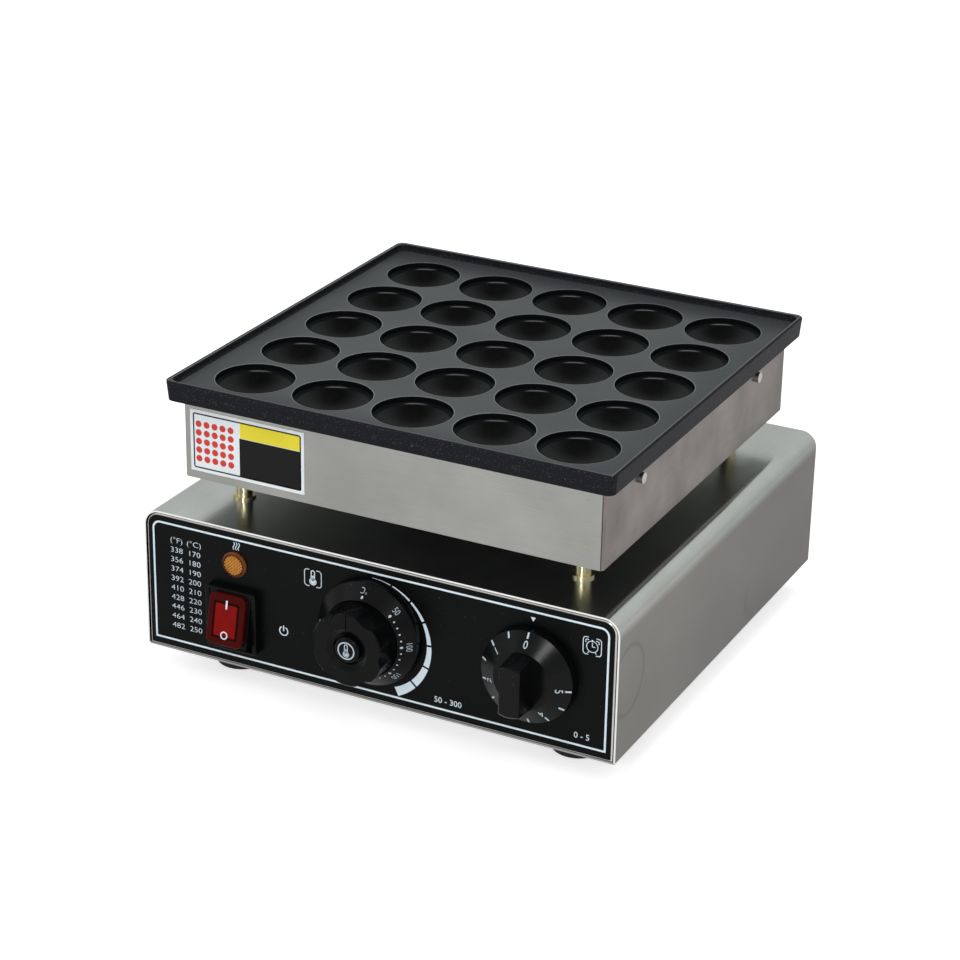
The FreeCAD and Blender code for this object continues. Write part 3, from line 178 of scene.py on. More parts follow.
def band(tree, value, low, high, soft):
    # 1 between two levels and 0 outside them
    rise = spread(tree, value, low - soft, low, 0, 1, "SMOOTHSTEP")
    fall = spread(tree, value, high, high + soft, 1, 0, "SMOOTHSTEP")
    return combined(tree, "MULTIPLY", rise, fall)


def both(tree, *masks):
    # where all of the masks hold
    share = masks[0]
    for mask in masks[1:]:
        share = combined(tree, "MULTIPLY", share, mask)
    return share


def bump(tree, shader, height, distance):
    node = addNode(tree, "ShaderNodeBump")
    node.inputs["Distance"].default_value = distance
    node.inputs["Strength"].default_value = 1.0
    tree.links.new(height, node.inputs["Height"])
    tree.links.new(node.outputs["Normal"], shader.inputs["Normal"])


grainLook = {
    "streakScale": 2600.0, "stainScale": 17.0, "detail": 3.0, "streakRough": 0.6, "stainRough": 0.55,
    "dropScale": 13.0, "dropRim": (0.262, 0.275), "dropSoft": 0.02,
    "partScale": 9.0, "partDetail": 1.0, "part": (0.5, 0.6),
}


def makeGrainGroup(look):
    # fine brushing from a point stretched along it, slow stains, and faint arcs left by drops
    group = bpy.data.node_groups.new("sheetGrain", "ShaderNodeTree")
    for name in ("Along", "Cloud", "Plain"):
        group.interface.new_socket(name, in_out="INPUT", socket_type="NodeSocketVector")
    for name in ("Streak", "Stain", "Arc"):
        group.interface.new_socket(name, in_out="OUTPUT", socket_type="NodeSocketFloat")
    start = addNode(group, "NodeGroupInput")
    end = addNode(group, "NodeGroupOutput")
    streak = noiseAt(group, start.outputs["Along"], look["streakScale"], look["detail"], look["streakRough"])
    stain = noiseAt(group, start.outputs["Cloud"], look["stainScale"], look["detail"], look["stainRough"])
    cells = addNode(group, "ShaderNodeTexVoronoi", feature="F1")
    cells.inputs["Scale"].default_value = look["dropScale"]
    group.links.new(start.outputs["Plain"], cells.inputs["Vector"])
    circle = band(group, cells.outputs["Distance"], *look["dropRim"], look["dropSoft"])
    slow = noiseAt(group, start.outputs["Plain"], look["partScale"], look["partDetail"])
    arc = both(group, circle, spread(group, slow, *look["part"], 0, 1, "SMOOTHSTEP"))
    for name, value in (("Streak", streak), ("Stain", stain), ("Arc", arc)):
        group.links.new(value, end.inputs[name])
    return group


grainGroup = makeGrainGroup(grainLook)


def shadeFaded(tree, color, shadeFades):
    # painted shade: a colour that sinks towards a deeper one along an axis, from one place in millimetres to another
    for axis, start, end, share, deeper in shadeFades:
        depth = spread(tree, placeAlong(tree, axis), start * mm, end * mm, 0, share, "SMOOTHSTEP")
        color = blended(tree, depth, color, deeper)
    return color


def sheetSteel(name, look):
    # brushed sheet that can be darker below a bend, as painted shade, and bright along its cut front edge, as a
    # painted highlight
    material, tree, shader = newMaterial(name)
    group = addNode(tree, "ShaderNodeGroup", node_tree=grainGroup)
    tree.links.new(objectPoint(tree, look["grain"]), group.inputs["Along"])
    tree.links.new(objectPoint(tree, look["cloud"]), group.inputs["Cloud"])
    tree.links.new(objectPoint(tree), group.inputs["Plain"])
    color = ramp(tree, group.outputs["Stain"], *look["stainRange"], look["dull"], look["bright"])
    color = shadeFaded(tree, color, look["shadeFades"])
    # painted shade: below the bend the sheet takes a darker copy of its colour, sinking deeper along the side
    if "sideShadeDull" in look:
        side = ramp(tree, group.outputs["Stain"], *look["stainRange"], look["sideShadeDull"], look["sideShadeBright"])
        side = shadeFaded(tree, side, look["sideShadeFades"])
        lower = spread(tree, placeAlong(tree, "Z"), look["sideTop"] * mm, look["flatEdge"] * mm, 1, 0, "SMOOTHSTEP")
        color = blended(tree, lower, color, side)
        color = blended(tree, both(tree, group.outputs["Arc"], lower, look["arc"]), color, look["markColor"])
    fine = spread(tree, group.outputs["Streak"], *look["streakRange"], 0, look["streak"])
    color = blended(tree, fine, color, look["streakColor"])
    # painted highlight: a pale line along the sheet's cut front edge
    if "edgeHighlight" in look:
        edgeEnd = look["edgeY"] + look["edgeSoft"]
        front = spread(tree, placeAlong(tree, "Y"), look["edgeY"] * mm, edgeEnd * mm, 1, 0)
        color = blended(tree, front, color, look["edgeHighlight"])
    tree.links.new(color, shader.inputs["Base Color"])
    smoother, rougher = (look["rough"] + swing for swing in look["roughSwing"])
    rough = spread(tree, group.outputs["Streak"], *look["roughRange"], smoother, rougher)
    tree.links.new(rough, shader.inputs["Roughness"])
    shader.inputs["Metallic"].default_value = 1.0
    shader.inputs["Specular Tint"].default_value = (look["edgeTint"], look["edgeTint"], look["edgeTint"], 1)
    bump(tree, shader, group.outputs["Streak"], look["depth"])
    return material


metalLook = {
    "detail": 3.0, "darker": 0.82, "colorRange": (0.35, 0.65), "roughRange": (0.3, 0.7), "roughSwing": (-0.05, 0.07),
    "depth": 0.00001,
}


def plainMetal(name, color, rough, scale=300.0):
    # a metal with a cloudy tone and gloss
    look = metalLook
    material, tree, shader = newMaterial(name)
    cloud = noiseAt(tree, objectPoint(tree), scale, look["detail"])
    darker = tuple(look["darker"] * part for part in color)
    tree.links.new(ramp(tree, cloud, *look["colorRange"], darker, color), shader.inputs["Base Color"])
    smoother, rougher = (rough + swing for swing in look["roughSwing"])
    tree.links.new(spread(tree, cloud, *look["roughRange"], smoother, rougher), shader.inputs["Roughness"])
    shader.inputs["Metallic"].default_value = 1.0
    bump(tree, shader, cloud, look["depth"])
    return material


plasticLook = {
    "fineDetail": 2.0, "slowScale": 40.0, "slowDetail": 3.0, "gain": 1.12, "lift": 0.0008, "colorRange": (0.35, 0.7),
    "dustScale": 1300.0, "dustDetail": 0.0, "dustRange": (0.86, 0.90), "dustShare": 0.2,
    "dustColor": (0.35, 0.35, 0.35),
    "roughRange": (0.3, 0.7), "roughSwing": (-0.04, 0.05),
}


def plasticLike(name, color, rough, grain=1800.0, depth=0.00002, specular=0.5):
    # plastic, rubber, film or fibre with a fine grain, a slow change of tone and a little dust
    look = plasticLook
    material, tree, shader = newMaterial(name)
    point = objectPoint(tree)
    fine = noiseAt(tree, point, grain, look["fineDetail"])
    slow = noiseAt(tree, point, look["slowScale"], look["slowDetail"])
    paler = tuple(min(1.0, look["gain"] * part + look["lift"]) for part in color)
    base = ramp(tree, slow, *look["colorRange"], color, paler)
    specks = noiseAt(tree, point, look["dustScale"], look["dustDetail"])
    dust = spread(tree, specks, *look["dustRange"], 0, look["dustShare"])
    tree.links.new(blended(tree, dust, base, look["dustColor"]), shader.inputs["Base Color"])
    smoother, rougher = (rough + swing for swing in look["roughSwing"])
    tree.links.new(spread(tree, slow, *look["roughRange"], smoother, rougher), shader.inputs["Roughness"])
    shader.inputs["Specular IOR Level"].default_value = specular
    bump(tree, shader, fine, depth)
    return material


steelLook = {
    "grain": (0.02, 1, 1), "cloud": (1, 1, 1), "dull": (0.236, 0.237, 0.222), "bright": (0.290, 0.294, 0.279),
    "stainRange": (0.32, 0.68), "streak": 0.16, "streakRange": (0.35, 0.65), "streakColor": (0.19, 0.186, 0.174),
    "rough": 0.30, "roughRange": (0.3, 0.7), "roughSwing": (-0.03, 0.04), "depth": 0.0000012,
    "shadeFades": (), "edgeTint": 1.0, "edgeSoft": 0.15,
}
# the heater box's sides: a darker copy of the front steel as painted shade, deeper still towards the back
headSideShadedLook = {
    **steelLook, "grain": (1, 0.02, 1), "cloud": (1, 1.6, 1.3), "rough": 0.24, "edgeTint": 0.75,
    "dull": (0.114, 0.100, 0.093), "bright": (0.214, 0.189, 0.178), "streakColor": (0.118, 0.105, 0.098),
    "shadeFades": (("Y", 30.0, 120.0, 0.30, (0.010, 0.006, 0.004)),),
}
coverLook = {
    **steelLook, "grain": (1, 0.02, 1), "cloud": (1, 0.6, 1), "rough": 0.20, "edgeTint": 0.7,
    "dull": (0.40, 0.425, 0.40), "bright": (0.50, 0.53, 0.505), "streak": 0.12, "streakColor": (0.20, 0.20, 0.19),
    # painted shade on the sides below the bend, deeper towards the far end and the bottom
    "sideShadeDull": (0.150, 0.143, 0.134), "sideShadeBright": (0.184, 0.175, 0.164), "sideTop": 92.0, "flatEdge": 104.6,
    "sideShadeFades": (("Y", -90.0, 120.0, 0.38, (0.006, 0.003, 0.002)), ("Z", 85.0, 30.0, 0.16, (0.006, 0.004, 0.003))),
    "arc": 0.3, "markColor": (0.034, 0.030, 0.028),
    # painted highlight: the pale colour along the cover's front edge
    "edgeY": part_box("base_cover")[0][1] / mm + 0.1, "edgeHighlight": (0.66, 0.67, 0.665),
}
panelLook = {**steelLook, "dull": (0.40, 0.385, 0.37), "bright": (0.52, 0.50, 0.485), "rough": 0.25}

headFrontSteel = sheetSteel("headFrontSteel", steelLook)
headSideShadedSteel = sheetSteel("headSideShadedSteel", headSideShadedLook)
coverSteel = sheetSteel("coverSteel", coverLook)
panelSteel = sheetSteel("panelSteel", panelLook)
zincSheet = plainMetal("zincSheet", (0.30, 0.30, 0.30), 0.42, 60.0)
zincScrew = plainMetal("zincScrew", (0.50, 0.49, 0.47), 0.28)
dullScrew = plainMetal("dullScrew", (0.36, 0.35, 0.33), 0.26)
paleBrass = plainMetal("paleBrass", (0.62, 0.55, 0.36), 0.22)
warmCopper = plainMetal("warmCopper", (0.72, 0.42, 0.28), 0.35)
tintedSheath = plainMetal("tintedSheath", (0.24, 0.22, 0.20), 0.45)
blackPlastic = plasticLike("blackPlastic", (0.0042, 0.0044, 0.0046), 0.40, specular=0.15)
knobPlastic = plasticLike("knobPlastic", (0.0022, 0.0025, 0.0028), 0.20, 1500.0, 0.000012, 0.075)
timerPlastic = plasticLike("timerPlastic", (0.0024, 0.0027, 0.0030), 0.22, 1500.0, 0.00002, 0.10)
switchPlastic = plasticLike("switchPlastic", (0.0026, 0.0029, 0.0031), 0.32, specular=0.07)
blackRubber = plasticLike("blackRubber", (0.009, 0.009, 0.009), 0.7, 900.0, 0.00004, 0.25)
capPlastic = plasticLike("capPlastic", (0.0030, 0.0033, 0.0036), 0.22, specular=0.07)
whitePlastic = plasticLike("whitePlastic", (0.74, 0.74, 0.70), 0.45)
ceramicFibre = plasticLike("ceramicFibre", (0.76, 0.75, 0.70), 0.95, 500.0, 0.0003)
wireJacket = plasticLike("wireJacket", (0.42, 0.06, 0.045), 0.5)
filmBlack = plasticLike("filmBlack", (0.0019, 0.0023, 0.0025), 0.34, 2600.0, 0.000012, 0.055)
filmPrint = plasticLike("filmPrint", (0.70, 0.81, 0.88), 0.45, 2600.0, 0.000005, 0.3)
dialPrint = plasticLike("dialPrint", (0.50, 0.60, 0.68), 0.45, 2600.0, 0.000005, 0.3)

ironLook = {
    # the dish and wall colours are painted shade, the ring and lip line colours painted highlights
    "rimCoat": (0.0160, 0.0167, 0.0205), "dishDark": (0.0015, 0.0016, 0.0017), "dishPale": (0.0225, 0.0235, 0.0240),
    "wall": (0.0045, 0.0053, 0.0066), "ring": (0.250, 0.268, 0.272), "lipHighlight": (0.170, 0.185, 0.190),
    "soft": 0.12, "pitch": 50.8, "field": 127.0, "cloudScale": 22.0, "cloudDetail": 3.0, "cloudRange": (0.3, 0.7),
    # the flat between the hollows: pale partly in its own worn tone and partly as painted sheen, with painted shade
    # near the lip and towards the back
    "flat": (0.0858, 0.0938, 0.0948), "flatInner": (0.105, 0.1145, 0.1155), "flatSoft": 20.0, "flatTone": 0.80,
    "flatShadeFades": (("Y", 100.0, 131.0, 0.5, (0.012, 0.012, 0.012)),), "flatRise": (0.15, 0.03),
    # the lip round the plate, with painted shade on its inner wall and a painted highlight line along its inner edge
    "lip": 2.7, "lipHighlightBand": (1.5, 2.4), "lipWallShade": (0.2, 0.6), "lipHighlightRise": (1.2, 0.9), "lipHighlightShare": 0.8,
    # the hollows, with painted shade on the dish and the steep wall, a painted highlight ring round the edge and a
    # glint in the clear coat
    "sunkDrop": (0.5, 0.15), "paintedShadeSpot": (-7.2, 14.3), "paintedShadeReach": (3.5, 20.0), "dishTone": 0.85,
    "ringBand": (22.85, 23.25), "ringSoft": 0.18, "ringHighlightFar": 0.5, "wallBand": (20.8, 22.9), "wallSoft": 0.36,
    "glintSpot": (-8.6, 19.9), "glintReach": (2.5, 8.0), "glintBand": (21.2, 21.6), "glintSoft": 0.24, "glint": 1.0,
    # specks of dust
    "dust": (0.22, 0.225, 0.24), "dustScale": 2300.0, "dustDetail": 0.0, "dustRange": (0.74, 0.81),
    "dustShare": 0.6, "dustInDish": 0.12,
    "roughFlat": 0.42, "roughElse": 0.27, "roughSwing": (-0.03, 0.04), "specular": 0.012,
    "castScale": 1500.0, "castDetail": 2.0, "castRough": 0.7, "castDepth": 0.00005,
}


def hollowReach(tree, look, spot=(0, 0)):
    # how far a point lies from a spot in the nearest hollow, in metres
    half = look["pitch"] / 2 * mm
    squares = []
    for axis, offset in zip("XY", spot):
        fold = addNode(tree, "ShaderNodeMath", operation="WRAP")
        tree.links.new(placeAlong(tree, axis), fold.inputs[0])
        fold.inputs[1].default_value = -half
        fold.inputs[2].default_value = half
        away = combined(tree, "SUBTRACT", fold.outputs[0], offset * mm)
        squares.append(combined(tree, "MULTIPLY", away, away))
    return combined(tree, "SQRT", combined(tree, "ADD", *squares), 0.0)


def bothWays(tree, lows, highs, soft):
    # 1 inside a rectangle seen from above
    sides = (band(tree, placeAlong(tree, axis), low, high, soft) for axis, low, high in zip("XY", lows, highs))
    return both(tree, *sides)


def squareField(tree, half, soft):
    return bothWays(tree, (-half, -half), (half, half), soft)


def ironMasks(tree, look):
    # where the flat, the hollows, the painted shade on the lip's inner wall and the painted highlight line along the
    # lip's edge lie, and how far a point lies from a hollow's middle
    height = placeAlong(tree, "Z")
    soft = look["soft"] * mm
    top = layout["surfaceZ"] * mm
    lip = layout["lipTopZ"] * mm
    low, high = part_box("baking_plate")

    def within(margin):
        inset = margin * mm
        return bothWays(tree, [part + inset for part in low[:2]], [part - inset for part in high[:2]], soft)

    def rise(level, drops, start, end):
        # a change between two heights below a level
        return spread(tree, height, level - drops[0] * mm, level - drops[1] * mm, start, end)

    # painted shade: the lip's inner wall is kept out of the flat, so it keeps the dark rim colour
    wallLow, wallHigh = look["lipWallShade"]
    lipWallShade = band(tree, height, top + wallLow * mm, lip - wallHigh * mm, soft)
    outsideLipShade = combined(tree, "SUBTRACT", 1.0, lipWallShade)
    flat = both(tree, within(look["lip"]), rise(top, look["flatRise"], 0, 1), outsideLipShade)
    hollows = squareField(tree, look["field"] * mm, soft)
    sunk = both(tree, hollows, rise(top, look["sunkDrop"], 1, 0))
    outer, inner = (within(margin) for margin in look["lipHighlightBand"])
    lipHighlightLine = both(tree, combined(tree, "SUBTRACT", outer, inner), rise(lip, look["lipHighlightRise"], 0, look["lipHighlightShare"]))
    return flat, hollows, sunk, lipHighlightLine, hollowReach(tree, look)


def makeCoatedIron(look):
    # a pale surface, partly worn tone and partly painted sheen, with a painted highlight ring round each hollow and a
    # painted highlight line along the lip, painted shade in the hollows, on the lip's inner wall and towards the
    # back, and darker coating on the rim
    material, tree, shader = newMaterial("coatedIron")
    point = objectPoint(tree)
    flat, hollows, sunk, lipHighlightLine, radius = ironMasks(tree, look)
    cloud = noiseAt(tree, point, look["cloudScale"], look["cloudDetail"])

    def reachBand(name):
        low, high = look[name + "Band"]
        return band(tree, radius, low * mm, high * mm, look[name + "Soft"] * mm)

    def clouded(low, high):
        return spread(tree, cloud, *look["cloudRange"], low, high)

    # painted shade in each hollow: darkest round a spot off the middle towards the back left, paler further out
    start, end = look["paintedShadeReach"]
    dark = hollowReach(tree, look, look["paintedShadeSpot"])
    pale = spread(tree, dark, start * mm, end * mm, 0, 1, "SMOOTHSTEP")
    dish = blended(tree, both(tree, pale, clouded(look["dishTone"], 1.0)), look["dishDark"], look["dishPale"])
    # painted shade: the steep wall of each hollow is darker still
    dish = blended(tree, reachBand("wall"), dish, look["wall"])
    color = blended(tree, sunk, look["rimCoat"], dish)
    # painted shade on the flat: darker near the lip and towards the back
    inner = squareField(tree, (look["field"] - look["flatSoft"]) * mm, look["flatSoft"] * mm)
    surface = shadeFaded(tree, blended(tree, inner, look["flat"], look["flatInner"]), look["flatShadeFades"])
    color = blended(tree, both(tree, flat, clouded(look["flatTone"], 1.0)), color, surface)
    # painted highlight: a pale ring round each hollow's edge, weaker towards the back
    highlightFading = spread(tree, placeAlong(tree, "Y"), 0.0, look["field"] * mm, 1.0, look["ringHighlightFar"])
    color = blended(tree, both(tree, reachBand("ring"), hollows, flat, highlightFading), color, look["ring"])
    # painted highlight: a pale line along the lip's inner edge
    color = blended(tree, lipHighlightLine, color, look["lipHighlight"])
    specks = noiseAt(tree, point, look["dustScale"], look["dustDetail"])
    dust = spread(tree, specks, *look["dustRange"], 0, look["dustShare"])
    dust = both(tree, dust, spread(tree, sunk, 0, 1, 1.0, look["dustInDish"]))
    tree.links.new(blended(tree, dust, color, look["dust"]), shader.inputs["Base Color"])

    rough = spread(tree, flat, 0, 1, look["roughElse"], look["roughFlat"])
    rough = combined(tree, "ADD", rough, clouded(*look["roughSwing"]))
    tree.links.new(rough, shader.inputs["Roughness"])
    near, far = look["glintReach"]
    glint = spread(tree, hollowReach(tree, look, look["glintSpot"]), near * mm, far * mm, 1, 0, "SMOOTHSTEP")
    tree.links.new(both(tree, glint, reachBand("glint"), sunk, look["glint"]), shader.inputs["Coat Weight"])
    shader.inputs["Coat Roughness"].default_value = look["roughElse"]
    shader.inputs["Specular IOR Level"].default_value = look["specular"]
    cast = noiseAt(tree, point, look["castScale"], look["castDetail"], look["castRough"])
    bump(tree, shader, cast, look["castDepth"])
    return material


coatedIron = makeCoatedIron(ironLook)

tintLook = {
    "cloudScale": 220.0, "cloudDetail": 2.0, "cloudRange": (0.3, 0.7),
    "darker": 0.8, "roughSwing": 0.05, "coatRough": 0.05,
}


def clearTint(name, color, rough, coat=0.0, specular=0.1):
    # a tinted lens that isn't lit
    look = tintLook
    material, tree, shader = newMaterial(name)
    cloud = noiseAt(tree, objectPoint(tree), look["cloudScale"], look["cloudDetail"])
    darker = tuple(look["darker"] * part for part in color)
    tree.links.new(ramp(tree, cloud, *look["cloudRange"], darker, color), shader.inputs["Base Color"])
    gloss = spread(tree, cloud, *look["cloudRange"], rough, rough + look["roughSwing"])
    tree.links.new(gloss, shader.inputs["Roughness"])
    shader.inputs["Specular IOR Level"].default_value = specular
    shader.inputs["Coat Weight"].default_value = coat
    shader.inputs["Coat Roughness"].default_value = look["coatRough"]
    return material


redEdge = clearTint("redEdge", (0.068, 0.0026, 0.0021), 0.2, specular=0.04)
redShade = clearTint("redShade", (0.014, 0.0012, 0.0011), 0.3, specular=0.03)
redGlow = clearTint("redGlow", (0.245, 0.0045, 0.0040), 0.3, specular=0.06)
amberRim = clearTint("amberRim", (0.165, 0.044, 0.007), 0.15, 0.1)
amberBright = clearTint("amberBright", (0.86, 0.37, 0.07), 0.25)
amberDark = clearTint("amberDark", (0.045, 0.011, 0.003), 0.2)
labelWhite = plasticLike("labelWhite", (0.78, 0.83, 0.85), 0.4, 2600.0, 0.000005, 0.3)
labelBlack = plasticLike("labelBlack", (0.004, 0.004, 0.004), 0.4, 2600.0, 0.000005, 0.12)
labelAmber = plasticLike("labelAmber", (0.78, 0.66, 0.03), 0.4, 2600.0, 0.000005, 0.3)
labelRed = plasticLike("labelRed", (0.62, 0.035, 0.03), 0.4, 2600.0, 0.000005, 0.3)
ochreSpot = plasticLike("ochreSpot", (0.36, 0.30, 0.19), 0.5)
print("materials made")

finishes = {
    "base_cover": coverSteel, "control_panel": panelSteel, "rear_panel": panelSteel,
    "panel_overlay": filmBlack, "bottom_plate": zincSheet, "cover_screws": zincScrew,
    "foot_screws": zincScrew, "foot_nuts": zincScrew, "post_washers": paleBrass,
    "post_nuts_base": zincScrew, "post_nuts_head": zincScrew,
    "head_front_panel": headFrontSteel, "head_rear_panel": headFrontSteel,
    "head_left_panel": headSideShadedSteel, "head_right_panel": headSideShadedSteel,
    "head_bottom_plate": zincSheet, "head_insulation": ceramicFibre, "head_label": labelWhite,
    "plate_screws": dullScrew, "baking_plate": coatedIron,
    "heating_element_left": tintedSheath, "heating_element_right": tintedSheath,
    "element_clamp_bars": zincSheet, "clamp_screws": zincScrew,
    "thermostat_bulb": warmCopper, "thermostat_capillary": warmCopper,
    "thermostat_body": blackPlastic, "thermostat_screws": zincScrew, "thermostat_shaft": zincScrew,
    "temperature_bezel": knobPlastic, "temperature_knob": knobPlastic,
    "temperature_knob_cap": capPlastic, "timer_body": zincSheet, "timer_screws": zincScrew,
    "timer_shaft": zincScrew, "timer_knob": timerPlastic, "switch_housing": switchPlastic,
    "rocker": switchPlastic, "rocker_lens": redEdge, "lamp_lens": amberRim, "lamp_body": blackPlastic,
    "cable_gland_body": blackPlastic, "cable_gland_cap": blackPlastic,
    "cable_gland_seal": blackRubber, "cable_gland_nut": blackPlastic,
    "terminal_block": whitePlastic, "terminal_screws": paleBrass,
    "element_leads": wireJacket, "control_wires": wireJacket,
}
for corner in ("front_left", "front_right", "rear_left", "rear_right"):
    finishes["foot_" + corner] = blackRubber
    finishes["support_post_" + corner] = paleBrass


def dress(node, material):
    for place in nodes[node].material_slots:
        place.material = material


for node, material in finishes.items():
    dress(node, material)
print("nodes dressed", min(len(nodes[node].material_slots) for node in finishes))


printLook = {"capShare": 0.72, "curveSteps": 4, "cornerSteps": 8, "thickness": 0.02, "pressLift": 0.06}


def deselectAll():
    if bpy.context.object and bpy.context.object.mode != "OBJECT":
        bpy.ops.object.mode_set(mode="OBJECT")
    bpy.ops.object.select_all(action="DESELECT")


def facing(x, y, z, turn=0.0):
    # where a flat piece goes that faces the front, turned clockwise by some degrees
    return {"location": (x * mm, y * mm, z * mm), "rotation": (math.pi / 2, math.radians(turn), 0)}


def settle(piece):
    deselectAll()
    bpy.context.view_layer.objects.active = piece
    piece.select_set(True)
    bpy.ops.object.transform_apply(location=True, rotation=True, scale=True)
    return piece


def words(text, height, x, y, z, turn=0.0, squeeze=1.0, weight=0.0):
    # letters whose capitals have the height given
    deselectAll()
    bpy.ops.object.text_add(**facing(x, y, z, turn))
    label = bpy.context.object
    label.data.body = text
    label.data.size = height * mm / printLook["capShare"]
    label.data.align_x = "CENTER"
    label.data.align_y = "CENTER"
    label.data.offset = weight * mm
    label.data.resolution_u = printLook["curveSteps"]
    bpy.ops.object.convert(target="MESH")
    label = bpy.context.object
    label.scale = (squeeze, 1, 1)
    return settle(label)


def bar(width, height, x, y, z, turn=0.0, cuts=0):
    # a flat strip facing the front
    deselectAll()
    bpy.ops.mesh.primitive_plane_add(size=1, **facing(x, y, z, turn))
    strip = bpy.context.object
    strip.scale = (width * mm, height * mm, 1)
    settle(strip)
    if cuts:
        bpy.ops.object.mode_set(mode="EDIT")
        bpy.ops.mesh.select_all(action="SELECT")
        bpy.ops.mesh.subdivide(number_cuts=cuts)
        bpy.ops.object.mode_set(mode="OBJECT")
    return strip


def disc(radius, x, y, z, sides=24):
    deselectAll()
    bpy.ops.mesh.primitive_circle_add(vertices=sides, radius=radius * mm, fill_type="NGON", **facing(x, y, z))
    return settle(bpy.context.object)


def outlined(piece, line):
    # leaves only a line along the border of a flat piece
    bpy.ops.object.mode_set(mode="EDIT")
    bpy.ops.mesh.select_mode(type="FACE")
    bpy.ops.mesh.select_all(action="SELECT")
    bpy.ops.mesh.inset(thickness=line * mm, depth=0)
    bpy.ops.mesh.delete(type="FACE")
    bpy.ops.object.mode_set(mode="OBJECT")
    return piece


def ring(radius, line, x, y, z, sides=48):
    return outlined(disc(radius, x, y, z, sides), line)


def roundedPlate(width, height, corner, x, y, z, rounded=("top", "bottom")):
    # a flat rectangle facing the front with rounded corners
    piece = bar(width, height, x, y, z)
    bpy.ops.object.mode_set(mode="EDIT")
    bpy.ops.mesh.select_mode(type="VERT")
    bpy.ops.mesh.select_all(action="DESELECT")
    bpy.ops.object.mode_set(mode="OBJECT")
    for vertex in piece.data.vertices:
        side = "top" if vertex.co.z > z * mm else "bottom"
        vertex.select = side in rounded
    bpy.ops.object.mode_set(mode="EDIT")
    bpy.ops.mesh.bevel(offset=corner * mm, segments=printLook["cornerSteps"], affect="VERTICES")
    bpy.ops.object.mode_set(mode="OBJECT")
    return piece


def roundedFrame(width, height, corner, line, x, y, z, rounded=("top", "bottom")):
    return outlined(roundedPlate(width, height, corner, x, y, z, rounded), line)


def dropFaces(piece, unwanted):
    # deletes the faces whose centre, in millimetres, the test picks
    bpy.ops.object.mode_set(mode="EDIT")
    bpy.ops.mesh.select_mode(type="FACE")
    bpy.ops.mesh.select_all(action="DESELECT")
    bpy.ops.object.mode_set(mode="OBJECT")
    for face in piece.data.polygons:
        face.select = unwanted(face.center / mm)
    bpy.ops.object.mode_set(mode="EDIT")
    bpy.ops.mesh.delete(type="FACE")
    bpy.ops.object.mode_set(mode="OBJECT")


def joined(name, pieces):
    deselectAll()
    for piece in pieces:
        piece.select_set(True)
    bpy.context.view_layer.objects.active = pieces[0]
    bpy.ops.object.join()
    whole = bpy.context.object
    whole.name = name
    whole.data.name = name
    return whole


def addModifier(piece, kind, **values):
    deselectAll()
    bpy.context.view_layer.objects.active = piece
    piece.select_set(True)
    modifier = piece.modifiers.new(kind.lower(), kind)
    for name, value in values.items():
        setattr(modifier, name, value)
    bpy.ops.object.modifier_apply(modifier=modifier.name)


def laidOn(piece, node):
    # presses flat print on to a node's front
    addModifier(
        piece, "SHRINKWRAP", wrap_method="PROJECT", use_project_y=True, use_positive_direction=True,
        use_negative_direction=False, target=nodes[node], offset=printLook["pressLift"] * mm,
    )
    return piece


def finish(piece, body, material, thickness=printLook["thickness"]):
    # makes a flat piece a thin solid and says what it is
    addModifier(piece, "SOLIDIFY", thickness=thickness * mm, offset=0)
    piece.data.materials.clear()
    piece.data.materials.append(material)
    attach(piece, body)
    return piece


panelPrint = {
    "borderWidth": 288.6, "borderLow": 24.5, "borderHigh": 99.5, "borderLine": 1.2, "borderCorner": 5.2,
    "columns": ((-128.3, ["(°F)", "338", "356", "374", "392", "410", "428", "446", "464", "482"]),
                (-116.5, ["(°C)", "170", "180", "190", "200", "210", "220", "230", "240", "250"])),
    "headZ": 89.2, "firstZ": 83.1, "rowPitch": 6.03,
    "numberHeight": 3.5, "numberStretch": 1.2, "numberWeight": -0.05,
    "arcCentre": (0.7, 59.3), "arcRadius": 36.6, "arcSides": 360, "arcGap": 0.9,
    "arcStart": -0.8, "arcBreaks": (18.2, 39.8, 61.7, 84.6, 108.0, 131.9), "arcEnd": 154.0,
    "arcThin": 0.3, "arcBroad": 5.6, "arcLead": 1.0, "arcGrowth": 1.35,
}


def printY():
    return layout["filmY"] - layout["printLift"]


def borderPieces(sizes):
    height = sizes["borderHigh"] - sizes["borderLow"]
    middle = (sizes["borderHigh"] + sizes["borderLow"]) / 2
    return [roundedFrame(sizes["borderWidth"], height, sizes["borderCorner"], sizes["borderLine"],
                         0, printY(), middle, ("top",))]


def numberTable(sizes):
    pieces = []
    for x, rows in sizes["columns"]:
        for index, text in enumerate(rows):
            z = sizes["headZ"] if index == 0 else sizes["firstZ"] - (index - 1) * sizes["rowPitch"]
            pieces.append(words(text, sizes["numberHeight"], x, printY(), z,
                                squeeze=sizes["numberStretch"], weight=sizes["numberWeight"]))
    return pieces


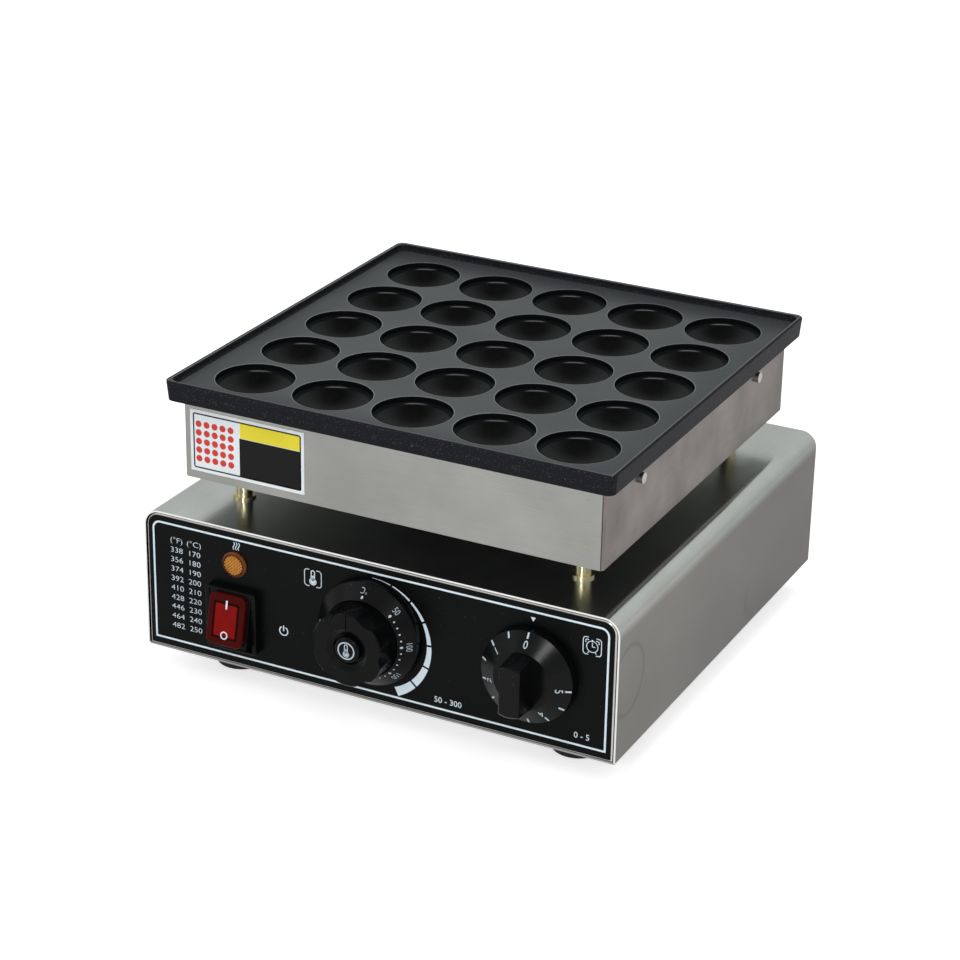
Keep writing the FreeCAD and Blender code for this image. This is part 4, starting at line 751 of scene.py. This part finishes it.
def wedgeArc(sizes):
    # the band that grows from a hairline to a broad end, broken into seven blocks
    x, z = sizes["arcCentre"]
    radius = sizes["arcRadius"]
    deselectAll()
    bpy.ops.mesh.primitive_circle_add(
        vertices=sizes["arcSides"], radius=radius * mm, fill_type="NOTHING", **facing(x, printY(), z))
    wedge = settle(bpy.context.object)
    bpy.ops.object.mode_set(mode="EDIT")
    bpy.ops.mesh.select_mode(type="EDGE")
    bpy.ops.mesh.select_all(action="SELECT")
    bpy.ops.mesh.extrude_edges_move()
    bpy.ops.object.mode_set(mode="OBJECT")
    centre = Vector((x, 0, z))
    for vertex in wedge.data.vertices:
        if vertex.select:
            arm = vertex.co / mm - centre
            angle = math.degrees(math.atan2(arm.x, arm.z))
            share = max(0.0, min(1.0, (angle + sizes["arcLead"]) / sizes["arcEnd"]))
            wide = sizes["arcThin"] + (sizes["arcBroad"] - sizes["arcThin"]) * share ** sizes["arcGrowth"]
            outward = Vector((math.sin(math.radians(angle)), 0, math.cos(math.radians(angle))))
            place = centre + outward * (radius - wide)
            vertex.co = Vector((place.x * mm, vertex.co.y, place.z * mm))

    def outside(middle):
        angle = math.degrees(math.atan2(middle.x - x, middle.z - z))
        gap = any(abs(angle - at) < sizes["arcGap"] for at in sizes["arcBreaks"])
        return angle < sizes["arcStart"] or angle > sizes["arcEnd"] or gap

    dropFaces(wedge, outside)
    return [wedge]


bracketLook = {"corner": 2.0, "line": 0.45, "openShare": 0.20}
# how many sides the signs' rings have
ringSides = {"thermometerCap": 32, "clockBell": 24, "power": 64}


def bracketBox(look, x, z, width, height):
    # two rounded brackets, left and right
    box = roundedFrame(width, height, look["corner"], look["line"], x, printY(), z)
    cut = width * look["openShare"]
    bpy.ops.object.mode_set(mode="EDIT")
    for side in (x + cut, x - cut):
        bpy.ops.mesh.select_all(action="SELECT")
        bpy.ops.mesh.bisect(plane_co=(side * mm, 0, 0), plane_no=(1, 0, 0))
    bpy.ops.object.mode_set(mode="OBJECT")
    dropFaces(box, lambda c: abs(c.x - x) < cut)
    return [box]


# as shares of the sign's height, and the bulb's filling as a share of the bulb
thermometerShares = {
    "line": 0.07, "bulb": 0.2, "bulbDown": 0.28, "columnWidth": 0.12, "columnHeight": 0.42, "columnDown": 0.05,
    "tubeHeight": 0.52, "tubeSide": 0.13, "tubeUp": 0.13, "capUp": 0.39,
}
bulbFill = 0.85


def thermometerSign(x, y, z, tall):
    part = {name: tall * share for name, share in thermometerShares.items()}
    line, bulb, side = part["line"], part["bulb"], part["tubeSide"]
    capZ = z + part["capUp"]
    pieces = [
        ring(bulb + line, line, x, y, z - part["bulbDown"]),
        disc(bulb * bulbFill, x, y, z - part["bulbDown"]),
        bar(part["columnWidth"], part["columnHeight"], x, y, z - part["columnDown"]),
        bar(line, part["tubeHeight"], x - side, y, z + part["tubeUp"]),
        bar(line, part["tubeHeight"], x + side, y, z + part["tubeUp"]),
    ]
    cap = ring(side + line / 2, line, x, y, capZ, ringSides["thermometerCap"])
    dropFaces(cap, lambda c: c.z < capZ)
    pieces.append(cap)
    return pieces


# as shares of the sign's height, and the second as shares of the dial's radius
clockShares = {
    "radius": 0.40, "line": 0.05, "crownWidth": 0.10, "crownHeight": 0.07, "crownUp": 0.03, "bell": 0.15, "leg": 0.13,
}
dialShares = {
    "minuteHand": 0.72, "minuteUp": 0.34, "hourHand": 0.55, "hourSide": 0.25,
    "bellOut": 0.82, "legSide": 0.62, "legDown": 1.02,
}
legTurn = 35


def clockSign(x, y, z, tall):
    part = {name: tall * share for name, share in clockShares.items()}
    radius, line = part["radius"], part["line"]
    part.update({name: radius * share for name, share in dialShares.items()})
    pieces = [
        ring(radius, line, x, y, z),
        bar(line, part["minuteHand"], x, y, z + part["minuteUp"]),
        bar(part["hourHand"], line, x + part["hourSide"], y, z),
        bar(part["crownWidth"], part["crownHeight"], x, y, z + radius + part["crownUp"]),
    ]
    for side in (-1, 1):
        bellX, bellZ = x + side * part["bellOut"], z + part["bellOut"]
        bell = ring(part["bell"], line, bellX, y, bellZ, ringSides["clockBell"])
        dropFaces(bell, lambda c, s=side, u=bellX, v=bellZ: (c.x - u) * s + (c.z - v) < 0)
        pieces.append(bell)
        pieces.append(bar(line, part["leg"], x + side * part["legSide"], y, z - part["legDown"], -side * legTurn))
    return pieces


powerShares = {"radius": 0.42, "line": 0.10, "gap": 0.16, "bar": 0.48, "barUp": 0.24}


def powerSign(x, z, size):
    part = {name: size * share for name, share in powerShares.items()}
    loop = ring(part["radius"], part["line"], x, printY(), z, ringSides["power"])
    dropFaces(loop, lambda c: c.z > z and abs(c.x - x) < part["gap"])
    return [loop, bar(part["line"], part["bar"], x, printY(), z + part["barUp"])]


waveLook = {"offsets": (-0.34, 0.0, 0.34), "width": 0.11, "swing": 0.11, "steps": 16}


def heatSign(look, x, z, size):
    # three rising waves
    pieces = []
    for offset in look["offsets"]:
        wave = bar(size * look["width"], size, x, printY(), z)
        bpy.ops.object.mode_set(mode="EDIT")
        for step in range(1, look["steps"]):
            level = z - size / 2 + size * step / look["steps"]
            bpy.ops.mesh.select_all(action="SELECT")
            bpy.ops.mesh.bisect(plane_co=(0, 0, level * mm), plane_no=(0, 0, 1))
        bpy.ops.object.mode_set(mode="OBJECT")
        for vertex in wave.data.vertices:
            phase = (vertex.co.z / mm - z) / size * 2 * math.pi
            vertex.co.x += (offset * size + math.sin(phase) * size * look["swing"]) * mm
        pieces.append(wave)
    return pieces


arrowLook = {"corners": 3, "widthOverRadius": 1.732, "turn": 180}


def timerArrow(look, x, z, width):
    deselectAll()
    bpy.ops.mesh.primitive_circle_add(
        vertices=look["corners"], radius=width / look["widthOverRadius"] * mm, fill_type="NGON",
        **facing(x, printY(), z, look["turn"]))
    return [settle(bpy.context.object)]


# where each sign stands: x, z, and its height or its width and height
panelSigns = {
    "thermometerBox": (-38.0, 86.6, 11.3, 10.6), "thermometer": (-38.0, 86.9, 8.4),
    "clockBox": (134.1, 86.7, 11.2, 10.7), "clock": (134.1, 86.5, 8.8),
    "power": (-57.5, 48.8, 7.2), "heat": (-88.0, 94.9, 4.8), "arrow": (98.9, 94.7, 3.0),
    "scales": (("50 - 300", 47.9, 30.4), ("0 - 5", 129.8, 30.8)), "scaleHeight": 3.7,
}


def signPieces(places):
    pieces = []
    for name, makeSign in (("thermometer", thermometerSign), ("clock", clockSign)):
        x, z, tall = places[name]
        pieces += bracketBox(bracketLook, *places[name + "Box"]) + makeSign(x, printY(), z, tall)
    pieces += powerSign(*places["power"]) + heatSign(waveLook, *places["heat"])
    pieces += [words(text, places["scaleHeight"], x, printY(), z) for text, x, z in places["scales"]]
    return pieces + timerArrow(arrowLook, *places["arrow"])


pieces = borderPieces(panelPrint) + numberTable(panelPrint) + wedgeArc(panelPrint) + signPieces(panelSigns)
finish(joined("panel_print", pieces), "root", filmPrint)
print("panel print made")


def around(x, y, z, radius, angle):
    # a place on a circle that faces the front, so many degrees clockwise from its top
    turn = math.radians(angle)
    return x + radius * math.sin(turn), y, z + radius * math.cos(turn)


bezelScale = {
    "frontY": -185.0, "dotRadius": 24.9, "bigDot": 0.70, "bigEvery": 45.0, "bigDots": 6,
    "smallDot": 0.45, "smallSides": 16, "steps": 5, "dots": 31,
    "textRadius": 28.1, "textHeight": 2.9, "textWeight": -0.05,
    "texts": ("50", "100", "150", "200", "250", "300"), "unit": "°C", "unitTurn": 180,
}


def bezelPrint(sizes):
    # big dots from the zero mark on, small dots past the first number, the numbers and the unit
    pieces = []
    centre = 0, sizes["frontY"], layout["dialZ"]
    for index in range(sizes["bigDots"]):
        pieces.append(disc(sizes["bigDot"], *around(*centre, sizes["dotRadius"], index * sizes["bigEvery"])))
    step = sizes["bigEvery"] / sizes["steps"]
    for index in range(sizes["steps"] + 1, sizes["dots"]):
        if index % sizes["steps"]:
            spot = around(*centre, sizes["dotRadius"], index * step)
            pieces.append(disc(sizes["smallDot"], *spot, sizes["smallSides"]))
    for index, text in enumerate(sizes["texts"], start=1):
        angle = index * sizes["bigEvery"]
        spot = around(*centre, sizes["textRadius"], angle)
        pieces.append(words(text, sizes["textHeight"], *spot, angle, weight=sizes["textWeight"]))
    spot = around(*centre, sizes["textRadius"], 0)
    pieces.append(words(sizes["unit"], sizes["textHeight"], *spot, sizes["unitTurn"], weight=sizes["textWeight"]))
    return pieces


timerScale = {
    "frontY": -185.0, "start": 2.0, "halfMinute": 26.7, "ticks": 11,
    "tickRadius": 25.7, "tickLength": 3.0, "tickWidth": 1.05, "tickCuts": 3, "timeRadius": 21.1, "timeHeight": 4.0,
}


def timerPrint(sizes):
    pieces = []
    centre = layout["timerX"], sizes["frontY"], layout["timerZ"]
    for index in range(sizes["ticks"]):
        angle = sizes["start"] - index * sizes["halfMinute"]
        spot = around(*centre, sizes["tickRadius"], angle)
        pieces.append(bar(sizes["tickWidth"], sizes["tickLength"], *spot, angle, sizes["tickCuts"]))
        if index % 2 == 0:
            spot = around(*centre, sizes["timeRadius"], angle)
            pieces.append(words(str(index // 2), sizes["timeHeight"], *spot, angle))
    return pieces


capSign = {"radius": 5.3, "line": 0.75, "sign": 7.2}


def capPrint(sizes):
    y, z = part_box("temperature_knob_cap")[0][1] / mm - layout["printLift"], layout["dialZ"]
    return [ring(sizes["radius"], sizes["line"], 0, y, z)] + thermometerSign(0, y, z, sizes["sign"])


bezelMarks = laidOn(joined("bezel_print", bezelPrint(bezelScale)), "temperature_bezel")
finish(bezelMarks, "root", dialPrint)
timerMarks = laidOn(joined("timer_print", timerPrint(timerScale)), "timer_knob")
finish(timerMarks, "timer_knob", dialPrint)
finish(joined("knob_cap_print", capPrint(capSign)), "temperature_knob", dialPrint)
print("dial print made")


rockerLook = {
    "tilt": 12.0, "face": 11.5, "corner": 0.5, "patchDrop": 0.2,
    "shade": (17.0, 21.8), "shadeLift": 0.02, "glow": (14.1, 19.0), "glowLift": 0.05,
    "barHeight": 5.0, "barWidth": 1.15, "barUp": 9.2, "ringRadius": 2.4, "ringLine": 0.75, "ringDown": 9.0,
    "markLift": 0.08,
}


def ontoRocker(piece):
    # turns a flat piece made in front of the switch on to the rocker's tilted face
    pivot = Vector((layout["switchX"], layout["panelY"], layout["switchZ"])) * mm
    turn = Matrix.Rotation(math.radians(-rockerLook["tilt"]), 4, "X")
    piece.matrix_world = Matrix.Translation(pivot) @ turn @ Matrix.Translation(-pivot)
    return settle(piece)


def rockerY(lift):
    return layout["panelY"] - rockerLook["face"] - lift


def rockerPatch(look, name, material):
    z = layout["switchZ"] - look["patchDrop"]
    patch = roundedPlate(*look[name], look["corner"], layout["switchX"], rockerY(look[name + "Lift"]), z)
    finish(ontoRocker(patch), "power_rocker", material)
    patch.name = "rocker_" + name


def rockerMarks(look):
    # the I above and the O below
    x, y, z = layout["switchX"], rockerY(look["markLift"]), layout["switchZ"]
    pieces = [
        bar(look["barWidth"], look["barHeight"], x, y, z + look["barUp"]),
        ring(look["ringRadius"], look["ringLine"], x, y, z - look["ringDown"]),
    ]
    finish(ontoRocker(joined("rocker_marks", pieces)), "power_rocker", filmPrint)


rockerPatch(rockerLook, "shade", redShade)
rockerPatch(rockerLook, "glow", redGlow)
rockerMarks(rockerLook)

lampLook = {
    "radius": 5.75, "pitch": 1.45, "rib": 0.46, "directions": (45.0, 135.0), "lift": 0.1, "thickness": 0.25,
    "groove": 6.75, "grooveWidth": 0.7,
}


def lampGrid(look):
    # crossed ribs on the lamp's face, trimmed to a disc
    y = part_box("lamp_lens")[0][1] / mm + look["lift"]
    pieces = []
    count = int(look["radius"] / look["pitch"])
    for direction in look["directions"]:
        turn = math.radians(direction)
        for index in range(-count, count + 1):
            off = index * look["pitch"]
            length = 2 * math.sqrt(look["radius"] ** 2 - off ** 2)
            ribX = layout["lampX"] + off * math.cos(turn)
            ribZ = layout["lampZ"] - off * math.sin(turn)
            pieces.append(bar(look["pitch"] * look["rib"], length, ribX, y, ribZ, direction))
    return joined("lamp_grid", pieces)


finish(lampGrid(lampLook), "root", amberBright, lampLook["thickness"])
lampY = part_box("lamp_lens")[0][1] / mm - layout["printLift"]
groove = ring(lampLook["groove"], lampLook["grooveWidth"], layout["lampX"], lampY, layout["lampZ"])
finish(groove, "root", amberDark).name = "lamp_groove"
print("switch and lamp made")


sticker = {
    "left": -126.9, "right": -52.3, "low": 128.3, "high": 165.9, "film": 0.2,
    "lineInset": 1.9, "line": 0.85, "corner": 1.4, "split": 0.432,
    "headHeight": 9.6, "headInset": 1.0, "headGap": 0.5,
    "dot": 2.0, "dotPitch": 5.3, "dotsFrom": (5.6, 8.0), "dotRows": 5,
}


def stickerPieces(sizes):
    y = layout["headFrontY"] - sizes["film"] - layout["printLift"]
    width = sizes["right"] - sizes["left"] - 2 * sizes["lineInset"]
    height = sizes["high"] - sizes["low"] - 2 * sizes["lineInset"]
    x = (sizes["left"] + sizes["right"]) / 2
    z = (sizes["low"] + sizes["high"]) / 2
    outline = roundedFrame(width, height, sizes["corner"], sizes["line"], x, y, z)
    finish(outline, "root", labelBlack).name = "sticker_outline"
    fieldLeft = x - width / 2 + width * sizes["split"]
    fieldRight = x + width / 2 - sizes["line"] / 2
    fieldX, fieldWidth = (fieldLeft + fieldRight) / 2, fieldRight - fieldLeft
    top = z + height / 2 - sizes["line"] / 2
    low = z - height / 2 + sizes["line"] / 2
    split = top - sizes["headHeight"]
    dark = bar(fieldWidth, split - low, fieldX, y, (split + low) / 2)
    finish(dark, "root", labelBlack).name = "sticker_dark_field"
    warm = bar(fieldWidth - sizes["headInset"], top - split - sizes["headGap"], fieldX, y, (split + top) / 2)
    finish(warm, "root", labelAmber).name = "sticker_amber_field"
    dots = []
    for row in range(sizes["dotRows"]):
        for column in range(sizes["dotRows"]):
            dotX = sizes["left"] + sizes["dotsFrom"][0] + column * sizes["dotPitch"]
            dotZ = sizes["low"] + sizes["dotsFrom"][1] + row * sizes["dotPitch"]
            dots.append(disc(sizes["dot"], dotX, y, dotZ))
    finish(joined("sticker_dots", dots), "root", labelRed)


weldLook = {"x": 121.2, "heights": (163.0, 150.3, 135.3), "radius": 1.3, "line": 0.5, "lift": 0.02, "sides": 20}


def weldMarks(look):
    # faint rings, as spot welding leaves them on the front panel
    y = layout["headFrontY"] - look["lift"]
    return [ring(look["radius"], look["line"], look["x"], y, z, look["sides"]) for z in look["heights"]]


stickerPieces(sticker)
finish(joined("weld_marks", weldMarks(weldLook)), "root", ochreSpot)
print("sticker made")


studio = {
    "floorSize": 12, "floorColor": (0.86, 0.86, 0.86, 1), "floorRough": 0.9, "floorGlow": 0.58,
    "white": (1, 1, 1, 1), "skyLight": 0.45, "skySeen": 1.0, "aim": (0, 0, 0.1),
}


def seenBy(tree, *rays):
    # 1 for any of the kinds of ray named
    path = addNode(tree, "ShaderNodeLightPath")
    seen = path.outputs[rays[0]]
    for ray in rays[1:]:
        seen = combined(tree, "MAXIMUM", seen, path.outputs[ray])
    return seen


def makeFloor(look):
    deselectAll()
    bpy.ops.mesh.primitive_plane_add(size=look["floorSize"], location=(0, 0, 0))
    floor = bpy.context.object
    floor.name = "studioFloor"
    material, tree, shader = newMaterial("studioFloor")
    shader.inputs["Base Color"].default_value = look["floorColor"]
    shader.inputs["Roughness"].default_value = look["floorRough"]
    shader.inputs["Specular IOR Level"].default_value = 0.0
    shader.inputs["Emission Color"].default_value = look["white"]
    glow = combined(tree, "MULTIPLY", seenBy(tree, "Is Camera Ray", "Is Glossy Ray"), look["floorGlow"])
    tree.links.new(glow, shader.inputs["Emission Strength"])
    floor.data.materials.append(material)


def makeWorld(look):
    world = bpy.data.worlds.new("studioWorld")
    bpy.context.scene.world = world
    world.use_nodes = True
    tree = world.node_tree
    background = tree.nodes["Background"]
    background.inputs["Color"].default_value = look["white"]
    seen = seenBy(tree, "Is Camera Ray", "Is Glossy Ray", "Is Transmission Ray")
    tree.links.new(spread(tree, seen, 0, 1, look["skyLight"], look["skySeen"]), background.inputs["Strength"])


softboxes = (
    {"name": "keyBox", "from": (1.3, -1.4, 1.7), "size": 1.0, "power": 9.0},
    {"name": "fillBox", "from": (-1.6, -1.2, 1.3), "size": 1.2, "power": 5.0},
    {"name": "topBox", "from": (0.0, 0.4, 2.0), "size": 1.4, "power": 9.0},
    {"name": "frontBox", "from": (0.3, -1.45, 0.68), "size": 0.24, "power": 5.0},
)


def makeSoftbox(box, target):
    data = bpy.data.lights.new(box["name"], "AREA")
    data.shape = "SQUARE"
    data.size = box["size"]
    data.energy = box["power"]
    lamp = bpy.data.objects.new(box["name"], data)
    bpy.context.scene.collection.objects.link(lamp)
    lamp.location = box["from"]
    aim = Vector(target) - Vector(box["from"])
    lamp.rotation_euler = aim.to_track_quat("-Z", "Y").to_euler()


makeFloor(studio)
makeWorld(studio)
for box in softboxes:
    makeSoftbox(box, studio["aim"])
print("stage lit")
